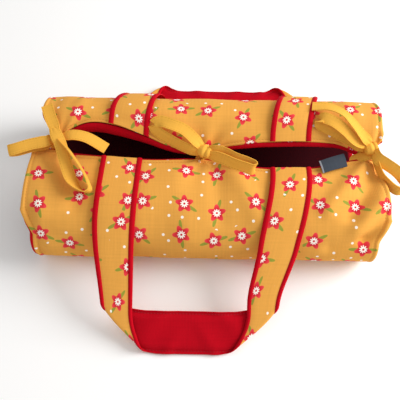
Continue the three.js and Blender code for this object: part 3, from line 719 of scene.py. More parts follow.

# %% [markdown]
# The layers are laid as sheets and get their thickness from a Solidify modifier. The wadding is a needled
# felt of white fibres, dull with a soft sheen. It is hidden between the cloths, but it is a real piece, so it
# is laid too, a little short of the edges. Panel cloths reach under the bag.

# %% Lay the panels
SHEET_THICKNESS = 0.55
WADDING_THICKNESS = 2.0
WADDING_DEPTH = 1.2  # under the panel's outer face
WADDING_INSET = 6


def dress(piece, material):
    piece.data.materials.clear()
    piece.data.materials.append(material)
    return piece


def hang_on_fold(piece):
    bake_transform(piece)


wadding_white = cotton("wadding", "f0ece2", thread=2.0, slub_depth=0.1, roughness=1.0, sheen=0.4)
for side, name in SIDE_NAMES.items():
    points, cut = panel_layer(side, lining=False)
    outward = slice(None, None, -side)
    cloth = lay_cloth(f"{name}_panel_cloth", points[:, outward], cut[:, outward], SHEET_THICKNESS)
    dress(cloth, printed_cotton)
    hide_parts(f"{name}_outer")
    points, cut = panel_layer(side, lining=True)
    lining = lay_cloth(f"{name}_panel_lining", points[:, ::side], cut[:, ::side], SHEET_THICKNESS)
    # the lining's colour carries painted shade, almost black away from its rim
    dress(lining, lining_cotton_painted_shade)
    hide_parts(f"{name}_lining")
    q = np.linspace(0.06, 0.955, 40)[:, None]
    ends = WADDING_INSET - half_length(side, -1, q), half_length(side, 1, q) - WADDING_INSET
    x, q = np.broadcast_arrays(mix(*ends, np.linspace(0, 1, 90)), q)
    points, cut = panels[side].on(x, q, -WADDING_DEPTH), np.stack([x, q * PANEL_ARC], axis=-1)
    wadding = lay_cloth(f"{name}_panel_wadding", points[:, outward], cut[:, outward], WADDING_THICKNESS)
    dress(wadding, wadding_white)
    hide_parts(f"{name}_wadding")
    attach(wadding, f"{name}_panel")
    hang_on_fold(cloth)
    hang_on_fold(lining)
    print(name, "panel:", len(cloth.data.polygons), "faces of cloth,", len(lining.data.polygons), "of lining")

# %% [markdown]
# The base is the same three layers, flat on the table. Its ends are turned like the panels' ends. Its long
# sides meet the margins of the panels, so they are left plain.

# %% Lay the base
base_half = BASE_WIDTH / 2 - BASE_MARGIN
base_y = np.linspace(-base_half, base_half, 27)[:, None]
PAD_HEIGHT = 3.3
PAD_SPREAD = 1.8  # the wadding goes on past the cloths, almost to the folds


def base_layer(reach, low, high):
    turned = go_round(NEAR_EDGE, TURN_LENGTH, 90, reach, 1.0)
    x, sink = between_ends(BASE_HALF, BASE_HALF, turned, turned)
    return np.stack(np.broadcast_arrays(x, base_y, mix(low, high, sink)), axis=-1)


under = base_layer(RIM, 0, RIM)[:, ::-1]
base_cloth = lay_cloth("base_cloth", under, under[..., :2], SHEET_THICKNESS)
over = base_layer(LINING_RIM, PAD, RIM + 0.4)
# painted shade: the base lining is almost black away from its ends
base_lining = lay_cloth("base_lining_cloth", over, over[..., :2], SHEET_THICKNESS)
pad_end = BASE_HALF - WADDING_INSET
x, y = np.broadcast_arrays(np.linspace(-pad_end, pad_end, 60), base_y * PAD_SPREAD)
middle = np.stack([x, y, 0 * x + PAD_HEIGHT], axis=-1)
base_pad = lay_cloth("base_pad", middle, middle[..., :2], WADDING_THICKNESS)
for piece, material, slot, node in (
    (base_cloth, printed_cotton, "printed_cotton", "base_outer"),
    (base_lining, lining_cotton_painted_shade, "crimson_lining", "base_lining"),
    (base_pad, wadding_white, "wadding", "base_wadding"),
):
    dress(piece, material)
    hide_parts(node)
    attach(piece, "base")
print("base:", len(base_cloth.data.polygons), "faces of cloth")

# %% [markdown]
# A handle is one long crimson band with a printed strip sewn on its face. Its ends are caught in the mouth
# seam. Each strap lies on its panel, leaves it at the bulge and comes down to the table, where it is turned
# under on the slant, so that the grip shows the band's crimson back. A side view of each strap is worked
# out first: over the panel, then straight to the table.

# %% Side view of a strap
STRAP_WIDTH = 43
STRAP_SETBACK = 2  # from the mouth edge to the sewn end
STRAP_SEAT = 1.9  # height over the panel at the seam
STRAP_EASE = 24  # length over which a strap rises to its full height over the panel
STRAP_SOFTNESS = 3
LANDING = 6.1  # height of the printed face where the strap is turned under
LOW_ON_PANEL = 0.6  # straps leave their panel below this share of its height
FOLD_RADIUS = 2.2
WRAP = math.pi * FOLD_RADIUS  # length of band in the slanted turn
ROOT2 = math.sqrt(2)


class StrapLine:
    """Side view of one strap as (out, up), from the mouth seam to the outer edge of the grip."""

    def __init__(self, panel, x, lift, reach, fall, bend):
        q = np.linspace(panel.back_from_mouth(x, STRAP_SETBACK), 0, 161)
        gone = (q[0] - q) * panel.arc(x)
        points = panel.on(x, q, mix(STRAP_SEAT, lift, ramp(gone, 0, STRAP_EASE)))
        out, up = panel.side * points[:, 1], points[:, 2]
        slope = np.arctan2(-np.gradient(up), np.gradient(out))
        aim = fall or np.arctan2(up - LANDING, reach - out)
        leave = int(np.argmax((slope >= aim) & (q < LOW_ON_PANEL)))
        angle = float(fall or aim[leave])
        drop = up[leave] - LANDING - bend * (1 - math.cos(angle))
        foot = out[leave] + drop / math.tan(angle)
        arc = angle * (1 - np.linspace(0, 1, 9))
        out = np.concatenate([out[: leave + 1], foot + bend * (math.sin(angle) - np.sin(arc)), [reach]])
        up = np.concatenate([up[: leave + 1], LANDING + bend * (1 - np.cos(arc)), [LANDING]])
        length = lengths_along(out, up)
        self.length = length[-1]
        self.place = np.linspace(0, self.length, 200)
        sampled = (np.interp(self.place, length, column) for column in (out, up))
        self.points = np.stack(
            [blurred(line, STRAP_SOFTNESS, mode="reflect", reflect_type="odd") for line in sampled], axis=-1)
        tangent = unit(np.gradient(self.points, axis=0))
        self.normals = np.stack([-tangent[:, 1], tangent[:, 0]], axis=-1)
        self.corner = self.length - STRAP_WIDTH / 2 - WRAP / ROOT2

    def read(self, length):
        columns = np.concatenate([self.points, self.normals], axis=1).T
        values = [np.interp(length, self.place, column) for column in columns]
        return np.stack(values[:2], axis=-1), np.stack(values[2:], axis=-1)


print("corner of a strap:", round(STRAP_WIDTH / 2 + WRAP / ROOT2, 1), "mm from its far edge")

# %% [markdown]
# At its foot a strap is turned under on a slant of 45 degrees, and goes on sideways as the grip. In a frame
# that is turned by 45 degrees the turn is a plain roll, and the grip is the strap's mirror image under it.

# %% The slanted turn
def turn_under(line, along, across, height):
    """Length from the seam, place across and height of a band that is turned under on the slant."""
    past = (along - line.corner - across) / ROOT2
    beside = (along - line.corner + across) / ROOT2
    turn = np.clip(past, 0, WRAP) / FOLD_RADIUS
    roll = FOLD_RADIUS + height
    shifted = np.where(past < 0, past, np.where(past > WRAP, WRAP - past, roll * np.sin(turn)))
    under = np.where(past > WRAP, -2 * FOLD_RADIUS - height, roll * np.cos(turn) - FOLD_RADIUS)
    length = line.corner + (beside + shifted) / ROOT2
    return length, (beside - shifted) / ROOT2 - STRAP_WIDTH / 2, np.where(past < 0, height, under)


print("band in a slanted turn:", round(WRAP, 1), "mm")

# %% [markdown]
# The whole band is then laid along its two side views: left strap, turn, grip, turn, right strap. Real
# straps don't run dead straight, so each one drifts along the bag, and narrows where it twists into its
# turn. The grip's outer corners are pulled round, and soft creases cross it.

# %% The run of a handle
STRAP_CENTRE = 87
STRAP_FOOT = 110  # length at which a strap has left its panel
STRAP_TAPER = 0.3  # how much narrower a strap looks where it twists into its turned corner
TAPER_FROM = 110  # it starts so far before the corner
TAPER_TO = 10  # and ends so far past it
STRAP_END = 9  # length of a strap's sewn end
DRIFT_LENGTH = 55  # of the last drift, before the turn
GRIP_EASE = 32  # length over which the grip takes up its bow
CORNER_ROUND = 39  # the grip's outer corners are rounded over this length
CORNER_PULL = {1: 12, -1: 16}  # by so much, left and right
CORNER_FADE = 54  # length of grip that the pull reaches
CREASE_HEIGHT = 1.4  # of the soft creases on the grip
CREASE_FADES = (14, 22)  # lengths over which they come and go
CREASE_RUN = (13, 12)  # lengths along and across the band for one radian of their wave
LIFT_OFF = (8, 60)  # lengths between which a strap goes over from its panel to its side view
END_ROWS = 8
STRAP_ROWS = 72
ROLL_ROWS = 10
GRIP_ROWS = 34


class Handle:
    """A band from its left end over the grip to its right end; its halves are 1, left, and -1, right."""

    def __init__(self, side, lift, reach, drifts, fall=None, bend=0, bow=0):
        self.side = side
        self.lift = lift
        self.bow = bow
        self.panel = panels[side]
        self.lines = {
            half: StrapLine(self.panel, -half * STRAP_CENTRE, lift, reach, fall, bend) for half in (1, -1)}
        self.drifts = drifts
        span = 2 * STRAP_CENTRE + drifts[-1][-1] - drifts[1][-1]
        self.half_grip = span / 2 + WRAP / ROOT2

    def drift(self, half, length):
        """How far a strap has moved along the bag, at a length from the seam. The grip moves as one."""
        start, foot, end = self.drifts[half]
        still = self.lines[half].corner - STRAP_WIDTH / 2
        on_panel = start + (foot - start) * ramp(length, 0, STRAP_FOOT)
        return on_panel + (end - foot) * ramp(length, still - DRIFT_LENGTH, still)

    def place_on(self, half, along, across, height):
        line, other = self.lines[half], self.lines[-half]
        length, inward, raised = turn_under(line, along, across, height)
        narrow = 1 - STRAP_TAPER * ramp(length, line.corner - TAPER_FROM, line.corner + TAPER_TO)
        inward = inward * np.where(inward < 0, narrow, 1)
        low = np.clip((length - line.length) / CORNER_ROUND + 1, 0, 1)
        inward = inward + CORNER_PULL[half] * low**2 * (1 - ramp(inward, 0, CORNER_FADE))
        x = half * (inward + STRAP_WIDTH / 2 - STRAP_CENTRE) + self.drift(half, length)
        grip_start, middle = line.corner + WRAP * ROOT2, line.corner + self.half_grip
        start, end = CREASE_FADES
        creased = ramp(along, grip_start, grip_start + start) * (1 - ramp(along, middle - end, middle))
        wave = along / CREASE_RUN[0] + across / CREASE_RUN[1] + half
        raised = raised + CREASE_HEIGHT * creased * np.sin(wave) ** 4
        share = 0.5 * ramp(along, grip_start, middle)[..., None]
        points, normals = line.read(length)
        other_points, other_normals = other.read(length - line.length + other.length)
        laid = mix(points, other_points, share)
        laid[..., 0] -= self.bow * ramp(along, grip_start, grip_start + GRIP_EASE)
        laid = laid + mix(normals, other_normals, share) * raised[..., None]
        in_air = np.stack([x, self.side * laid[..., 0], laid[..., 1]], axis=-1)
        ease = mix(STRAP_SEAT, self.lift, ramp(length, 0, STRAP_EASE))
        q = self.panel.back_from_mouth(x, STRAP_SETBACK + length)
        return mix(self.panel.on(x, q, ease + raised), in_air, ramp(length, *LIFT_OFF)[..., None])

    def ribbon(self, across, height):
        """Points and flat places of a layer of the band, over the given places across it."""
        rows = []
        flats = []
        for half in (1, -1):
            corner = self.lines[half].corner
            wrap_end = corner + WRAP * ROOT2
            strap = np.linspace(STRAP_END, corner, STRAP_ROWS - END_ROWS)
            strap = np.concatenate([np.linspace(0, STRAP_END, END_ROWS + 1)[:-1], strap])
            roll = np.linspace(corner, wrap_end, ROLL_ROWS)[1:]
            grip = np.linspace(wrap_end, corner + self.half_grip, GRIP_ROWS)[1:]
            easing = ramp(strap, corner - STRAP_WIDTH, corner), np.linspace(1, 0, GRIP_ROWS)[1:]
            slant = np.concatenate([easing[0], np.ones(len(roll)), easing[1]])[:, None]
            along = np.concatenate([strap, roll, grip])[:, None] + slant * across
            rows.append(self.place_on(half, along, across, height))
            flats.append(np.stack(np.broadcast_arrays(along, across), axis=-1))
        flats[1][..., 0] = flats[0][-1, 0, 0] + flats[1][-1, 0, 0] - flats[1][..., 0]
        return [np.concatenate([left, right[-2::-1]])[:, :: self.side] for left, right in (rows, flats)]


handles = {
    FRONT: Handle(FRONT, lift=3, reach=184.5, drifts={1: (-2, -6, -6), -1: (0, -15, -23.5)}, bow=-4),
    BACK: Handle(BACK, lift=4, reach=156, drifts={1: (4, 21, 4), -1: (0, 20, 33)},
                 fall=math.radians(86), bend=7, bow=12),
}
for side, handle in handles.items():
    print(SIDE_NAMES[side], "straps:", [round(line.length, 1) for line in handle.lines.values()], "mm")

# %% [markdown]
# The band's two edges are folded over and stitched, so they stand as rounded crimson ridges on both sides
# of the strip. The strip is a little fuller in the middle, because it is sewn down only along its edges.
# The sewn ends are pieces of their own.

# %% Lay the handles
EDGE_WIDTH = 6
EDGE_HEIGHT = 1.5
STRIP_HALF = STRAP_WIDTH / 2 - EDGE_WIDTH
STRIP_OVERLAP = 0.4
BAND_THICKNESS = 1.0
STRIP_THICKNESS = 0.4
UP = np.array([0.0, 0.0, 1.0])
HANDLE_BLEND = {FRONT: ((0, -19), (0, -37)), BACK: ((0, 39.5), (2, 69.5))}  # (x, y) of two places on each handle; nothing bends at them
HANDLE_BLEND_HEIGHT = 70
END_BEND = 0.92  # share of a sewn end's length; nothing bends by it
HANDLE_PARTS = {  # rows of a ribbon, by the name of that part
    "handle": slice(END_ROWS, -END_ROWS),
    "handle_left_end": slice(0, END_ROWS + 1),
    "handle_right_end": slice(-END_ROWS - 1, None),
}

ridge = np.linspace(0, 1, 10)
edge_places = STRAP_WIDTH / 2 - EDGE_WIDTH * (1 - ridge)
edge_heights = EDGE_HEIGHT * np.sin(math.pi * ridge) ** 0.6
flat_places = np.linspace(-STRIP_HALF, STRIP_HALF, 9)[1:-1]
band_across = np.concatenate([-edge_places[::-1], flat_places, edge_places])
band_height = np.concatenate([edge_heights[::-1], 0 * flat_places, edge_heights])
strip_across = np.linspace(-STRIP_HALF - STRIP_OVERLAP, STRIP_HALF + STRIP_OVERLAP, 15)
strip_height = 0.45 + 0.55 * (1 - (strip_across / strip_across[-1]) ** 4)


def hang_handle(piece, side, part, points):
    if part == "handle":
        start, end = ((x * MM, y * MM, HANDLE_BLEND_HEIGHT * MM) for x, y in HANDLE_BLEND[side])
        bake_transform(piece)
        return
    seam, fold = (points[0], points[-1]) if part == "handle_left_end" else (points[-1], points[0])
    way = unit(np.cross(seam[-1] - seam[0], UP))
    start = seam.mean(axis=0)
    end = start + way * END_BEND * ((fold - seam) @ way).mean()
    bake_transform(piece)


for side, name in SIDE_NAMES.items():
    bands = handles[side].ribbon(band_across, band_height)
    strips = handles[side].ribbon(strip_across, strip_height)
    for part, rows in HANDLE_PARTS.items():
        band = lay_cloth(f"{name}_{part}_ribbon", *(layer[rows] for layer in bands), BAND_THICKNESS)
        strip = lay_cloth(f"{name}_{part}_face", *(layer[rows] for layer in strips), STRIP_THICKNESS)
        dress(band, crimson_cotton)
        dress(strip, printed_cotton)
        hang_handle(band, side, part, bands[0][rows])
        hang_handle(strip, side, part, bands[0][rows])
        if part == "handle":
            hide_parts(f"{name}_handle_band")
            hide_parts(f"{name}_handle_printed_strip")
        else:
            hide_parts(f"{name}_{part}")
    print(name, "handle:", bands[0].shape[0], "rows of points")

# %% [markdown]
# The ties are cotton tapes. A tape's middle follows a route of a few points. A spline through them gives
# the easy curves of soft cotton, and two helpers give points by what they touch: a knot, or the cloth of a
# panel.

# %% Routes for tapes
KNOT_SIZE = np.array([15.0, 15.0, 11.0])
KNOTS = {
    "left": np.array([-159.0, 20.0, 74.5]),
    "centre": np.array([-2.5, 7.0, 74.0]),
    "right": np.array([171.5, 13.5, 75.0]),
}


def smooth_route(route, steps):
    """Evenly spaced points on a smooth curve through a route: a centripetal Catmull-Rom spline."""
    p = np.array(route, float)
    p = np.concatenate([[2 * p[0] - p[1]], p, [2 * p[-1] - p[-2]]])
    knots = np.concatenate([[0], np.cumsum(np.sqrt(np.linalg.norm(np.diff(p, axis=0), axis=1)))])
    curve = []
    for i in range(1, len(p) - 2):
        t = np.linspace(knots[i], knots[i + 1], 24, endpoint=False)[:, None]
        stretch = [p[k] for k in range(i - 1, i + 3)]
        for level in (1, 2):
            starts = range(i - 1, i + 3 - level)
            shares = [(t - knots[k]) / (knots[k + level] - knots[k]) for k in starts]
            stretch = [mix(*ends) for ends in zip(stretch, stretch[1:], shares)]
        curve.append(mix(*stretch, (t - knots[i]) / (knots[i + 1] - knots[i])))
    curve = np.concatenate(curve + [p[-2:-1]])
    length = lengths_along(*curve.T)
    even = np.linspace(0, length[-1], steps)
    return np.stack([np.interp(even, length, column) for column in curve.T], axis=-1), even


def at_knot(bow, heading, climb, away=-1.5):
    """A place on a knot's surface; negative `away` is inside it. Both angles are in degrees."""
    turn, rise = math.radians(heading), math.radians(climb)
    way = np.array([math.cos(turn) * math.cos(rise), math.sin(turn) * math.cos(rise), math.sin(rise)])
    return KNOTS[bow] + (KNOT_SIZE / 2 + away) * way


def beside(side, x, back, lift):
    """A place `back` mm from the mouth edge of a panel, lifted off its cloth."""
    panel = panels[side]
    return panel.on(x, panel.back_from_mouth(x, back), lift)


print("knots:", {bow: place.tolist() for bow, place in KNOTS.items()})

# %% [markdown]
# A tape bends easily over its flat side and hardly at all in its own plane, so it also needs a direction for
# its width. Where it leaves the knot it is gathered into pleats.

# %% A tape
TAPE_WIDTH = 12.5
TAPE_THICKNESS = 0.9
GATHER = 0.78  # share of its width that a tape keeps at the knot
GATHER_LENGTH = 10
PLEAT_HEIGHT = 1.7
CAMBER = 0.35  # a tape's middle stands a little over its edges


def lay_tape(name, route, width=None, gathered="start", steps=56):
    """A tape along a route. Its width lies flat, along a vector, or turns through a list of vectors."""
    line, length = smooth_route(route, steps)
    direction = unit(np.gradient(line, axis=0))
    if width is None:
        wide = np.cross(UP, direction)
    else:
        turns = np.atleast_2d(np.array(width, float))
        stops, share = np.linspace(0, 1, len(turns)), np.linspace(0, 1, steps)
        wide = np.stack([np.interp(share, stops, column) for column in turns.T], axis=-1)
    wide = unit(wide - direction * (wide * direction).sum(axis=1, keepdims=True))
    thick = np.cross(direction, wide)
    from_start = length if "start" in gathered else np.inf
    from_end = length[-1] - length if "end" in gathered else np.inf
    from_knot = np.minimum(from_start, from_end) + 0 * length
    spread = mix(GATHER, 1, ramp(from_knot, 0, GATHER_LENGTH))[:, None]
    across = np.linspace(-1, 1, 11)[None, :]
    pleat = PLEAT_HEIGHT * (1 - spread) * np.cos(2.5 * math.pi * across) + CAMBER * (1 - across**2)
    points = line[:, None] + wide[:, None] * (across * spread * TAPE_WIDTH / 2)[..., None]
    points = points + thick[:, None] * pleat[..., None]
    cut = np.stack(np.broadcast_arrays(length[:, None], across * TAPE_WIDTH / 2), axis=-1)
    piece = lay_cloth(name, points, cut, TAPE_THICKNESS, offset=0.0)
    return dress(piece, tape_cotton)


print("a tape is", TAPE_WIDTH, "mm wide, and", GATHER * TAPE_WIDTH, "mm at its knot")

# %% [markdown]
# Each bow is two tapes, one sewn into the front seam and one into the back seam. What shows are loops and
# tails, and each of them is a given route: out of the knot, through the air or along the cloth, and for a
# loop back into the knot. The pieces ride on the panel whose seam holds their tape, so the bows part when it
# opens.

# %% Loops and tails
BOTH = "start end"
FRONT_TAPES = {
    "left_bow_outer_loop": dict(
        route=[at_knot("left", 200, 12), (-166, 14, 78), (-184, 9.5, 77), (-200.5, 4.5, 75),
               (-207, 4, 72.5), (-200.5, 6, 70), (-184, 11, 71),
               (-166, 15.5, 72), at_knot("left", 200, -25)],
        width=(0.27, -0.93, -0.25), gathered=BOTH),
    "left_bow_inner_tail": dict(
        route=[at_knot("left", 0, 18), (-142, 21, 79), (-127, 19, 78), (-105.5, 9.5, 71.5)]),
    "left_bow_front_loop": dict(
        route=[(-161.5, 28, 80.5), (-157, 18.5, 83), (-152.3, 9.5, 82.3), (-147, -4.7, 80.5),
               (-142, -19, 78.8), (-136, -32.5, 77.5), (-128, -42, 77), (-120, -46, 77), (-116, -43, 77.8),
               (-117.5, -38, 78.5), (-122, -28.5, 80), (-130.5, -15.5, 81.5), (-141, -1.5, 83),
               at_knot("left", -45, 45)],
        width=[(0.9, 0.35, 0), (0.9, 0.35, 0), (0.88, 0.45, -0.05), (0.75, 0.55, -0.35), (0.2, 0.35, -0.92),
               (0.05, 0.35, -0.93), (0, 0.45, -0.89), (0, 0.47, -0.88), (0.1, 0.4, -0.9)], gathered=BOTH),
    "centre_bow_front_loop": dict(
        route=[at_knot("centre", 5, 15), (7, 6.5, 77.5), (17.5, 4, 77), (29.5, -2, 76), (42, -6.5, 75),
               (50, -11.5, 74.5), (47, -15, 75), (41, -13.5, 75.5), (28, -9, 76), (15, -3, 76.5),
               at_knot("centre", -45, 0)],
        width=(0.15, 0.5, 0.85), gathered=BOTH),
    "right_bow_front_loop": dict(
        route=[at_knot("right", -50, 30), (175, -1, 79.5), (183, -7, 78.5), (193.5, -13.5, 75.5),
               (201, -19, 71), (205, -26, 67.5), (199, -31.5, 65), (192, -29.5, 66), (185, -22.5, 68),
               (179, -15, 71), at_knot("right", -75, -5)],
        width=[(0.5, 0.6, 0.5), (0.35, 0.5, 0.8), (0.3, 0.5, 0.8), (0.25, 0.1, 0.95), (0.15, -0.35, 0.9),
               (0.15, -0.35, 0.9)], gathered=BOTH),
}
BACK_TAPES = {
    "left_bow_back_tail": dict(
        route=[at_knot("left", 95, 62, 0.2), (-161, 29, 82), (-166, 40, 85.5), (-171, 53, 86.5)],
        width=[(0.97, 0.1, 0.1), (0.93, 0.35, 0.1)]),
    "centre_bow_back_loop": dict(
        route=[at_knot("centre", 130, 40), (-12, 14.5, 83), (-23.5, 23.5, 88), (-37, 29, 90),
               (-50, 33.5, 88.5), (-56, 31.5, 85.5), (-52, 25.5, 81.5), (-41, 19.5, 78), (-28.5, 13, 76),
               (-16, 7.5, 75), at_knot("centre", 185, -15)],
        width=[(0.5, 0.8, 0.1), (0.5, 0.8, 0.1), (0.4, 0.8, 0.2), (0.25, 0.5, 0.8), (0.2, 0.4, 0.9),
               (0.2, 0.4, 0.9)], gathered=BOTH),
    "right_bow_back_tail": dict(
        route=[at_knot("right", 110, 60, 0.2), (162.5, 20, 86.5), (153, 31, 91.5), (143, 43.5, 94),
               (128.5, 53, 92.5), (110.5, 56, 89.5)],
        width=[(0.9, 0.4, -0.1), (0.75, 0.55, -0.35), (0.7, 0.6, -0.4), (0.4, 0.85, -0.3),
               (0.15, 0.95, -0.15)]),
    "right_bow_back_loop": dict(
        route=[at_knot("right", 130, 40), (153.5, 17, 85), (142, 26, 90), (130, 35.5, 92), (119.5, 40, 90.5),
               (117.5, 37, 86.5), (123.5, 32.5, 83), (134, 28, 81), (147.5, 22, 79), (159, 15, 77),
               at_knot("right", 170, -10)],
        width=[(0.5, 0.75, 0.2), (0.5, 0.8, 0.1), (0.45, 0.8, 0.2), (0.3, 0.55, 0.75), (0.25, 0.45, 0.85),
               (0.25, 0.45, 0.85)], gathered=BOTH),
}
print("loops and tails that show:", len(FRONT_TAPES) + len(BACK_TAPES))

# %% [markdown]
# Two kinds of tape hardly show: the short roots between a seam and its knot, and the tails that are tucked
# into the mouth. Both follow from the place of their knot, so they come from a rule. Then all the tapes are
# laid.

# %% Three bows
ROOT_SEAMS = {"left": (-161, -160), "centre": (-6, -2), "right": (157, 170)}  # x in front and back seam
ROOT_DEPTH = 5  # length of a root that is sewn in
TUCKED_TAILS = {  # bow, step across the bag, and length
    "centre_bow_short_tail": ("centre", -1.4, 22),
    "centre_bow_long_tail": ("centre", 1.4, 34),
    "right_bow_tucked_tail": ("right", -3, 28),
}
for bow, seams in ROOT_SEAMS.items():
    for tapes, side, x in zip((FRONT_TAPES, BACK_TAPES), (FRONT, BACK), seams):
        route = [beside(side, x, ROOT_DEPTH, -2.4), beside(side, x, 0, -2.2), at_knot(bow, side * 70, -30)]
        tapes[f"{bow}_bow_{SIDE_NAMES[side]}_root"] = dict(route=route, gathered="end", steps=24)
for node, (bow, step, drop) in TUCKED_TAILS.items():
    x, y, z = KNOTS[bow] + (0, step, 1 - KNOT_SIZE[2] / 2)
    route = [(x, y, z), (x + 1, y - 1, z - drop / 2), (x, y - 3, z - drop)]
    BACK_TAPES[node] = dict(route=route, width=(1, 0, 0), steps=24)
for body, tapes in (("front_panel", FRONT_TAPES), ("back_panel", BACK_TAPES)):
    for node, shape in tapes.items():
        tape = lay_tape(f"{node}_tape", **shape)
        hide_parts(node)
        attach(tape, body)
    print(body, "carries", len(tapes), "tapes")

# %% [markdown]
# A knot is a turn of tape pulled tight round the others. A sphere is squeezed to the knot's size, and its
# vertices are moved along ridges that run round it on the slant, as the folds of the pulled tape do.

# %% Knots
KNOT_SLANTS = {"left": -0.35, "centre": -0.45, "right": 0.2}
KNOT_FULLNESS = 3.2  # 2 is a ball, and more is nearer to a barrel
FOLD_DEPTH = 0.06
GROOVE_DEPTH = 0.14


def tie_knot(bow, slant):
    bpy.ops.object.select_all(action="DESELECT")
    bpy.ops.mesh.primitive_uv_sphere_add(segments=44, ring_count=28, radius=0.5)
    knot = bpy.context.object
    knot.name = f"{bow}_bow_knot_turn"
    points = np.empty(len(knot.data.vertices) * 3)
    knot.data.vertices.foreach_get("co", points)
    ball = points.reshape(-1, 3) * 2
    axis = np.array([math.cos(slant), math.sin(slant), 0])
    across = ball @ axis
    round_way = ball[:, 1] * axis[0] - ball[:, 0] * axis[1]
    barrel = (1 - np.abs(across) ** KNOT_FULLNESS) ** (1 / KNOT_FULLNESS)
    fuller = np.clip(barrel / np.sqrt(np.maximum(1 - across**2, 1e-6)), 1, 1.35)
    ridges = FOLD_DEPTH * np.cos(7 * across + 1.5 * ball[:, 2])
    groove = GROOVE_DEPTH * np.exp(-(((across - 0.25) / 0.09) ** 2))
    on_axis = across[:, None] * axis
    shaped = on_axis + (ball - on_axis) * (fuller * (1 + ridges - groove))[:, None]
    knot.data.vertices.foreach_set("co", ((KNOTS[bow] + shaped * KNOT_SIZE / 2) * MM).ravel())
    write_cut(knot.data, np.stack([np.arctan2(ball[:, 2], round_way), across], axis=-1) * KNOT_SIZE[0] / 2)
    bpy.ops.object.shade_smooth()
    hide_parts(f"{bow}_bow_knot")
    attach(knot, "back_panel")
    return dress(knot, tape_cotton)


for bow, slant in KNOT_SLANTS.items():
    print(tie_knot(bow, slant).name, "on a slant of", round(math.degrees(slant)), "degrees")

# %% [markdown]
# A small woven ribbon, folded in half, is caught in the front mouth seam. It is left bare. Its threads are
# much finer than the cotton's, so it looks smooth, and its cut side is a little paler. It is laid like the
# cloths, partly on the panel and partly past its edge.

# %% Woven label
LABEL_SIZE = (28, 15)
LABEL_THICKNESS = 1.1
PALE_WIDTH = 1.6
LABEL_CORNERS = {  # (x, y, z), by end and by side of the seam
    (0, 0): (119.5, -15.5, 71.6), (1, 0): (146.0, -6.0, 70.2),
    (0, 1): (116.5, -1.0, 71.4), (1, 1): (143.5, 9.0, 71.4),
}


def slate(tree, place):
    parts = add(tree, "SeparateXYZ", {0: place})
    pale = add(tree, "Math", {0: parts, 1: PALE_WIDTH}, operation="LESS_THAN")
    return add(tree, "MixRGB", {"Fac": pale, "Color1": colour("40464f"), "Color2": colour("8d9096")})


slate_ribbon = cotton("slate ribbon", slate, thread=0.7, slub_depth=0.1)
u = np.linspace(0, 1, 15)[None, :, None]
v = np.linspace(0, 1, 9)[:, None, None]
corner = {key: np.array(place) for key, place in LABEL_CORNERS.items()}
points = mix(mix(corner[0, 0], corner[1, 0], u), mix(corner[0, 1], corner[1, 1], u), v)
points = points + UP * (0.9 * np.sin(math.pi * u) + 0.8 * np.sin(math.pi * v))
cut = np.concatenate(np.broadcast_arrays(u * LABEL_SIZE[0], v * LABEL_SIZE[1]), axis=-1)
label = dress(lay_cloth("label_ribbon", points, cut, LABEL_THICKNESS), slate_ribbon)
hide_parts("woven_label")
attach(label, "front_panel")
print("label:", len(label.data.polygons), "faces")

# %% [markdown]
# Stitches hold it all together: a line of thread inside every free edge of the panels, and one along both
# sides of the strip on each handle. Sewing thread is twisted, so a stitch has small light and dark flecks
# and a little shine. A stitch is a small ball drawn long, and one ball is copied along each line into one
# mesh.

# %% How to sew
STITCH_SIZE = np.array([2.3, 0.75, 0.6])
FLECK_SCALE = 900.0  # flecks per metre


def thread(name, hex_code):
    material, tree, shader = start_material(name, {"Roughness": 0.6})
    where = add(tree, "TexCoord")
    noise = add(tree, "TexNoise", {"Vector": where.outputs["Object"], "Scale": FLECK_SCALE})
    shade = add(tree, "MapRange", {"Value": noise.outputs["Fac"], "To Min": 0.75, "To Max": 1.25})
    twist = add(tree, "MixRGB", {"Fac": 1.0, "Color1": colour(hex_code), "Color2": shade},
                blend_type="MULTIPLY")
    tree.links.new(twist.outputs[0], shader.inputs["Base Color"])
    return material


bpy.ops.object.select_all(action="DESELECT")
bpy.ops.mesh.primitive_uv_sphere_add(segments=6, ring_count=4, radius=0.5)
ball = bpy.context.object
BALL_POINTS = np.array([vertex.co for vertex in ball.data.vertices]) * STITCH_SIZE
BALL_FACES = [list(face.vertices) for face in ball.data.polygons]
bpy.ops.object.delete()


def sew(name, lines, material):
    """Stitches along lines, each given as (points, normals)."""
    points = []
    for line, normals in lines:
        length = lengths_along(*line.T)
        middles = np.arange(STITCH_PITCH / 2, length[-1], STITCH_PITCH)
        way = unit(np.gradient(line, axis=0))
        read = [np.stack([np.interp(middles, length, column) for column in part.T], axis=-1)
                for part in (line, way, normals)]
        along = unit(read[1])
        side = unit(np.cross(read[2], along))
        axes = np.stack([along, side, np.cross(along, side)], axis=1)
        points.append(read[0][:, None] + np.einsum("pk,nkd->npd", BALL_POINTS, axes))
    points = np.concatenate(points)
    firsts = range(0, len(points) * len(BALL_POINTS), len(BALL_POINTS))
    faces = [[corner + first for corner in face] for first in firsts for face in BALL_FACES]
    mesh = bpy.data.meshes.new(name)
    mesh.from_pydata((points.reshape(-1, 3) * MM).tolist(), [], faces)
    piece = bpy.data.objects.new(name, mesh)
    bpy.context.collection.objects.link(piece)
    print(name, len(points), "stitches")
    return dress(piece, material)


mustard_thread = thread("mustard thread", "d8983a")
crimson_thread = thread("crimson thread", "a00018")
print("a stitch has", len(BALL_FACES), "faces")

# %% [markdown]
# On a panel the stitches run up both ends and along the mouth. On a handle they run beside the strip, and
# on the grip, which shows the band's back, along its own edges. They bend with the cloth that they hold.

# %% Stitches
STITCH_SINK = 0.35
GRIP_FROM = STRAP_ROWS + 6  # row of a ribbon from which the grip's own seams show
HANDLE_SEAMS = ((STRIP_HALF + 1.0, 0.75, 1), (STRAP_WIDTH / 2 - 3.0, 0.45, -1))  # across, height, facing


def on_panel(side, x, q):
    x, q = np.broadcast_arrays(x, q)
    return panels[side].on(x, q, -STITCH_SINK), panels[side].normal(x, q)


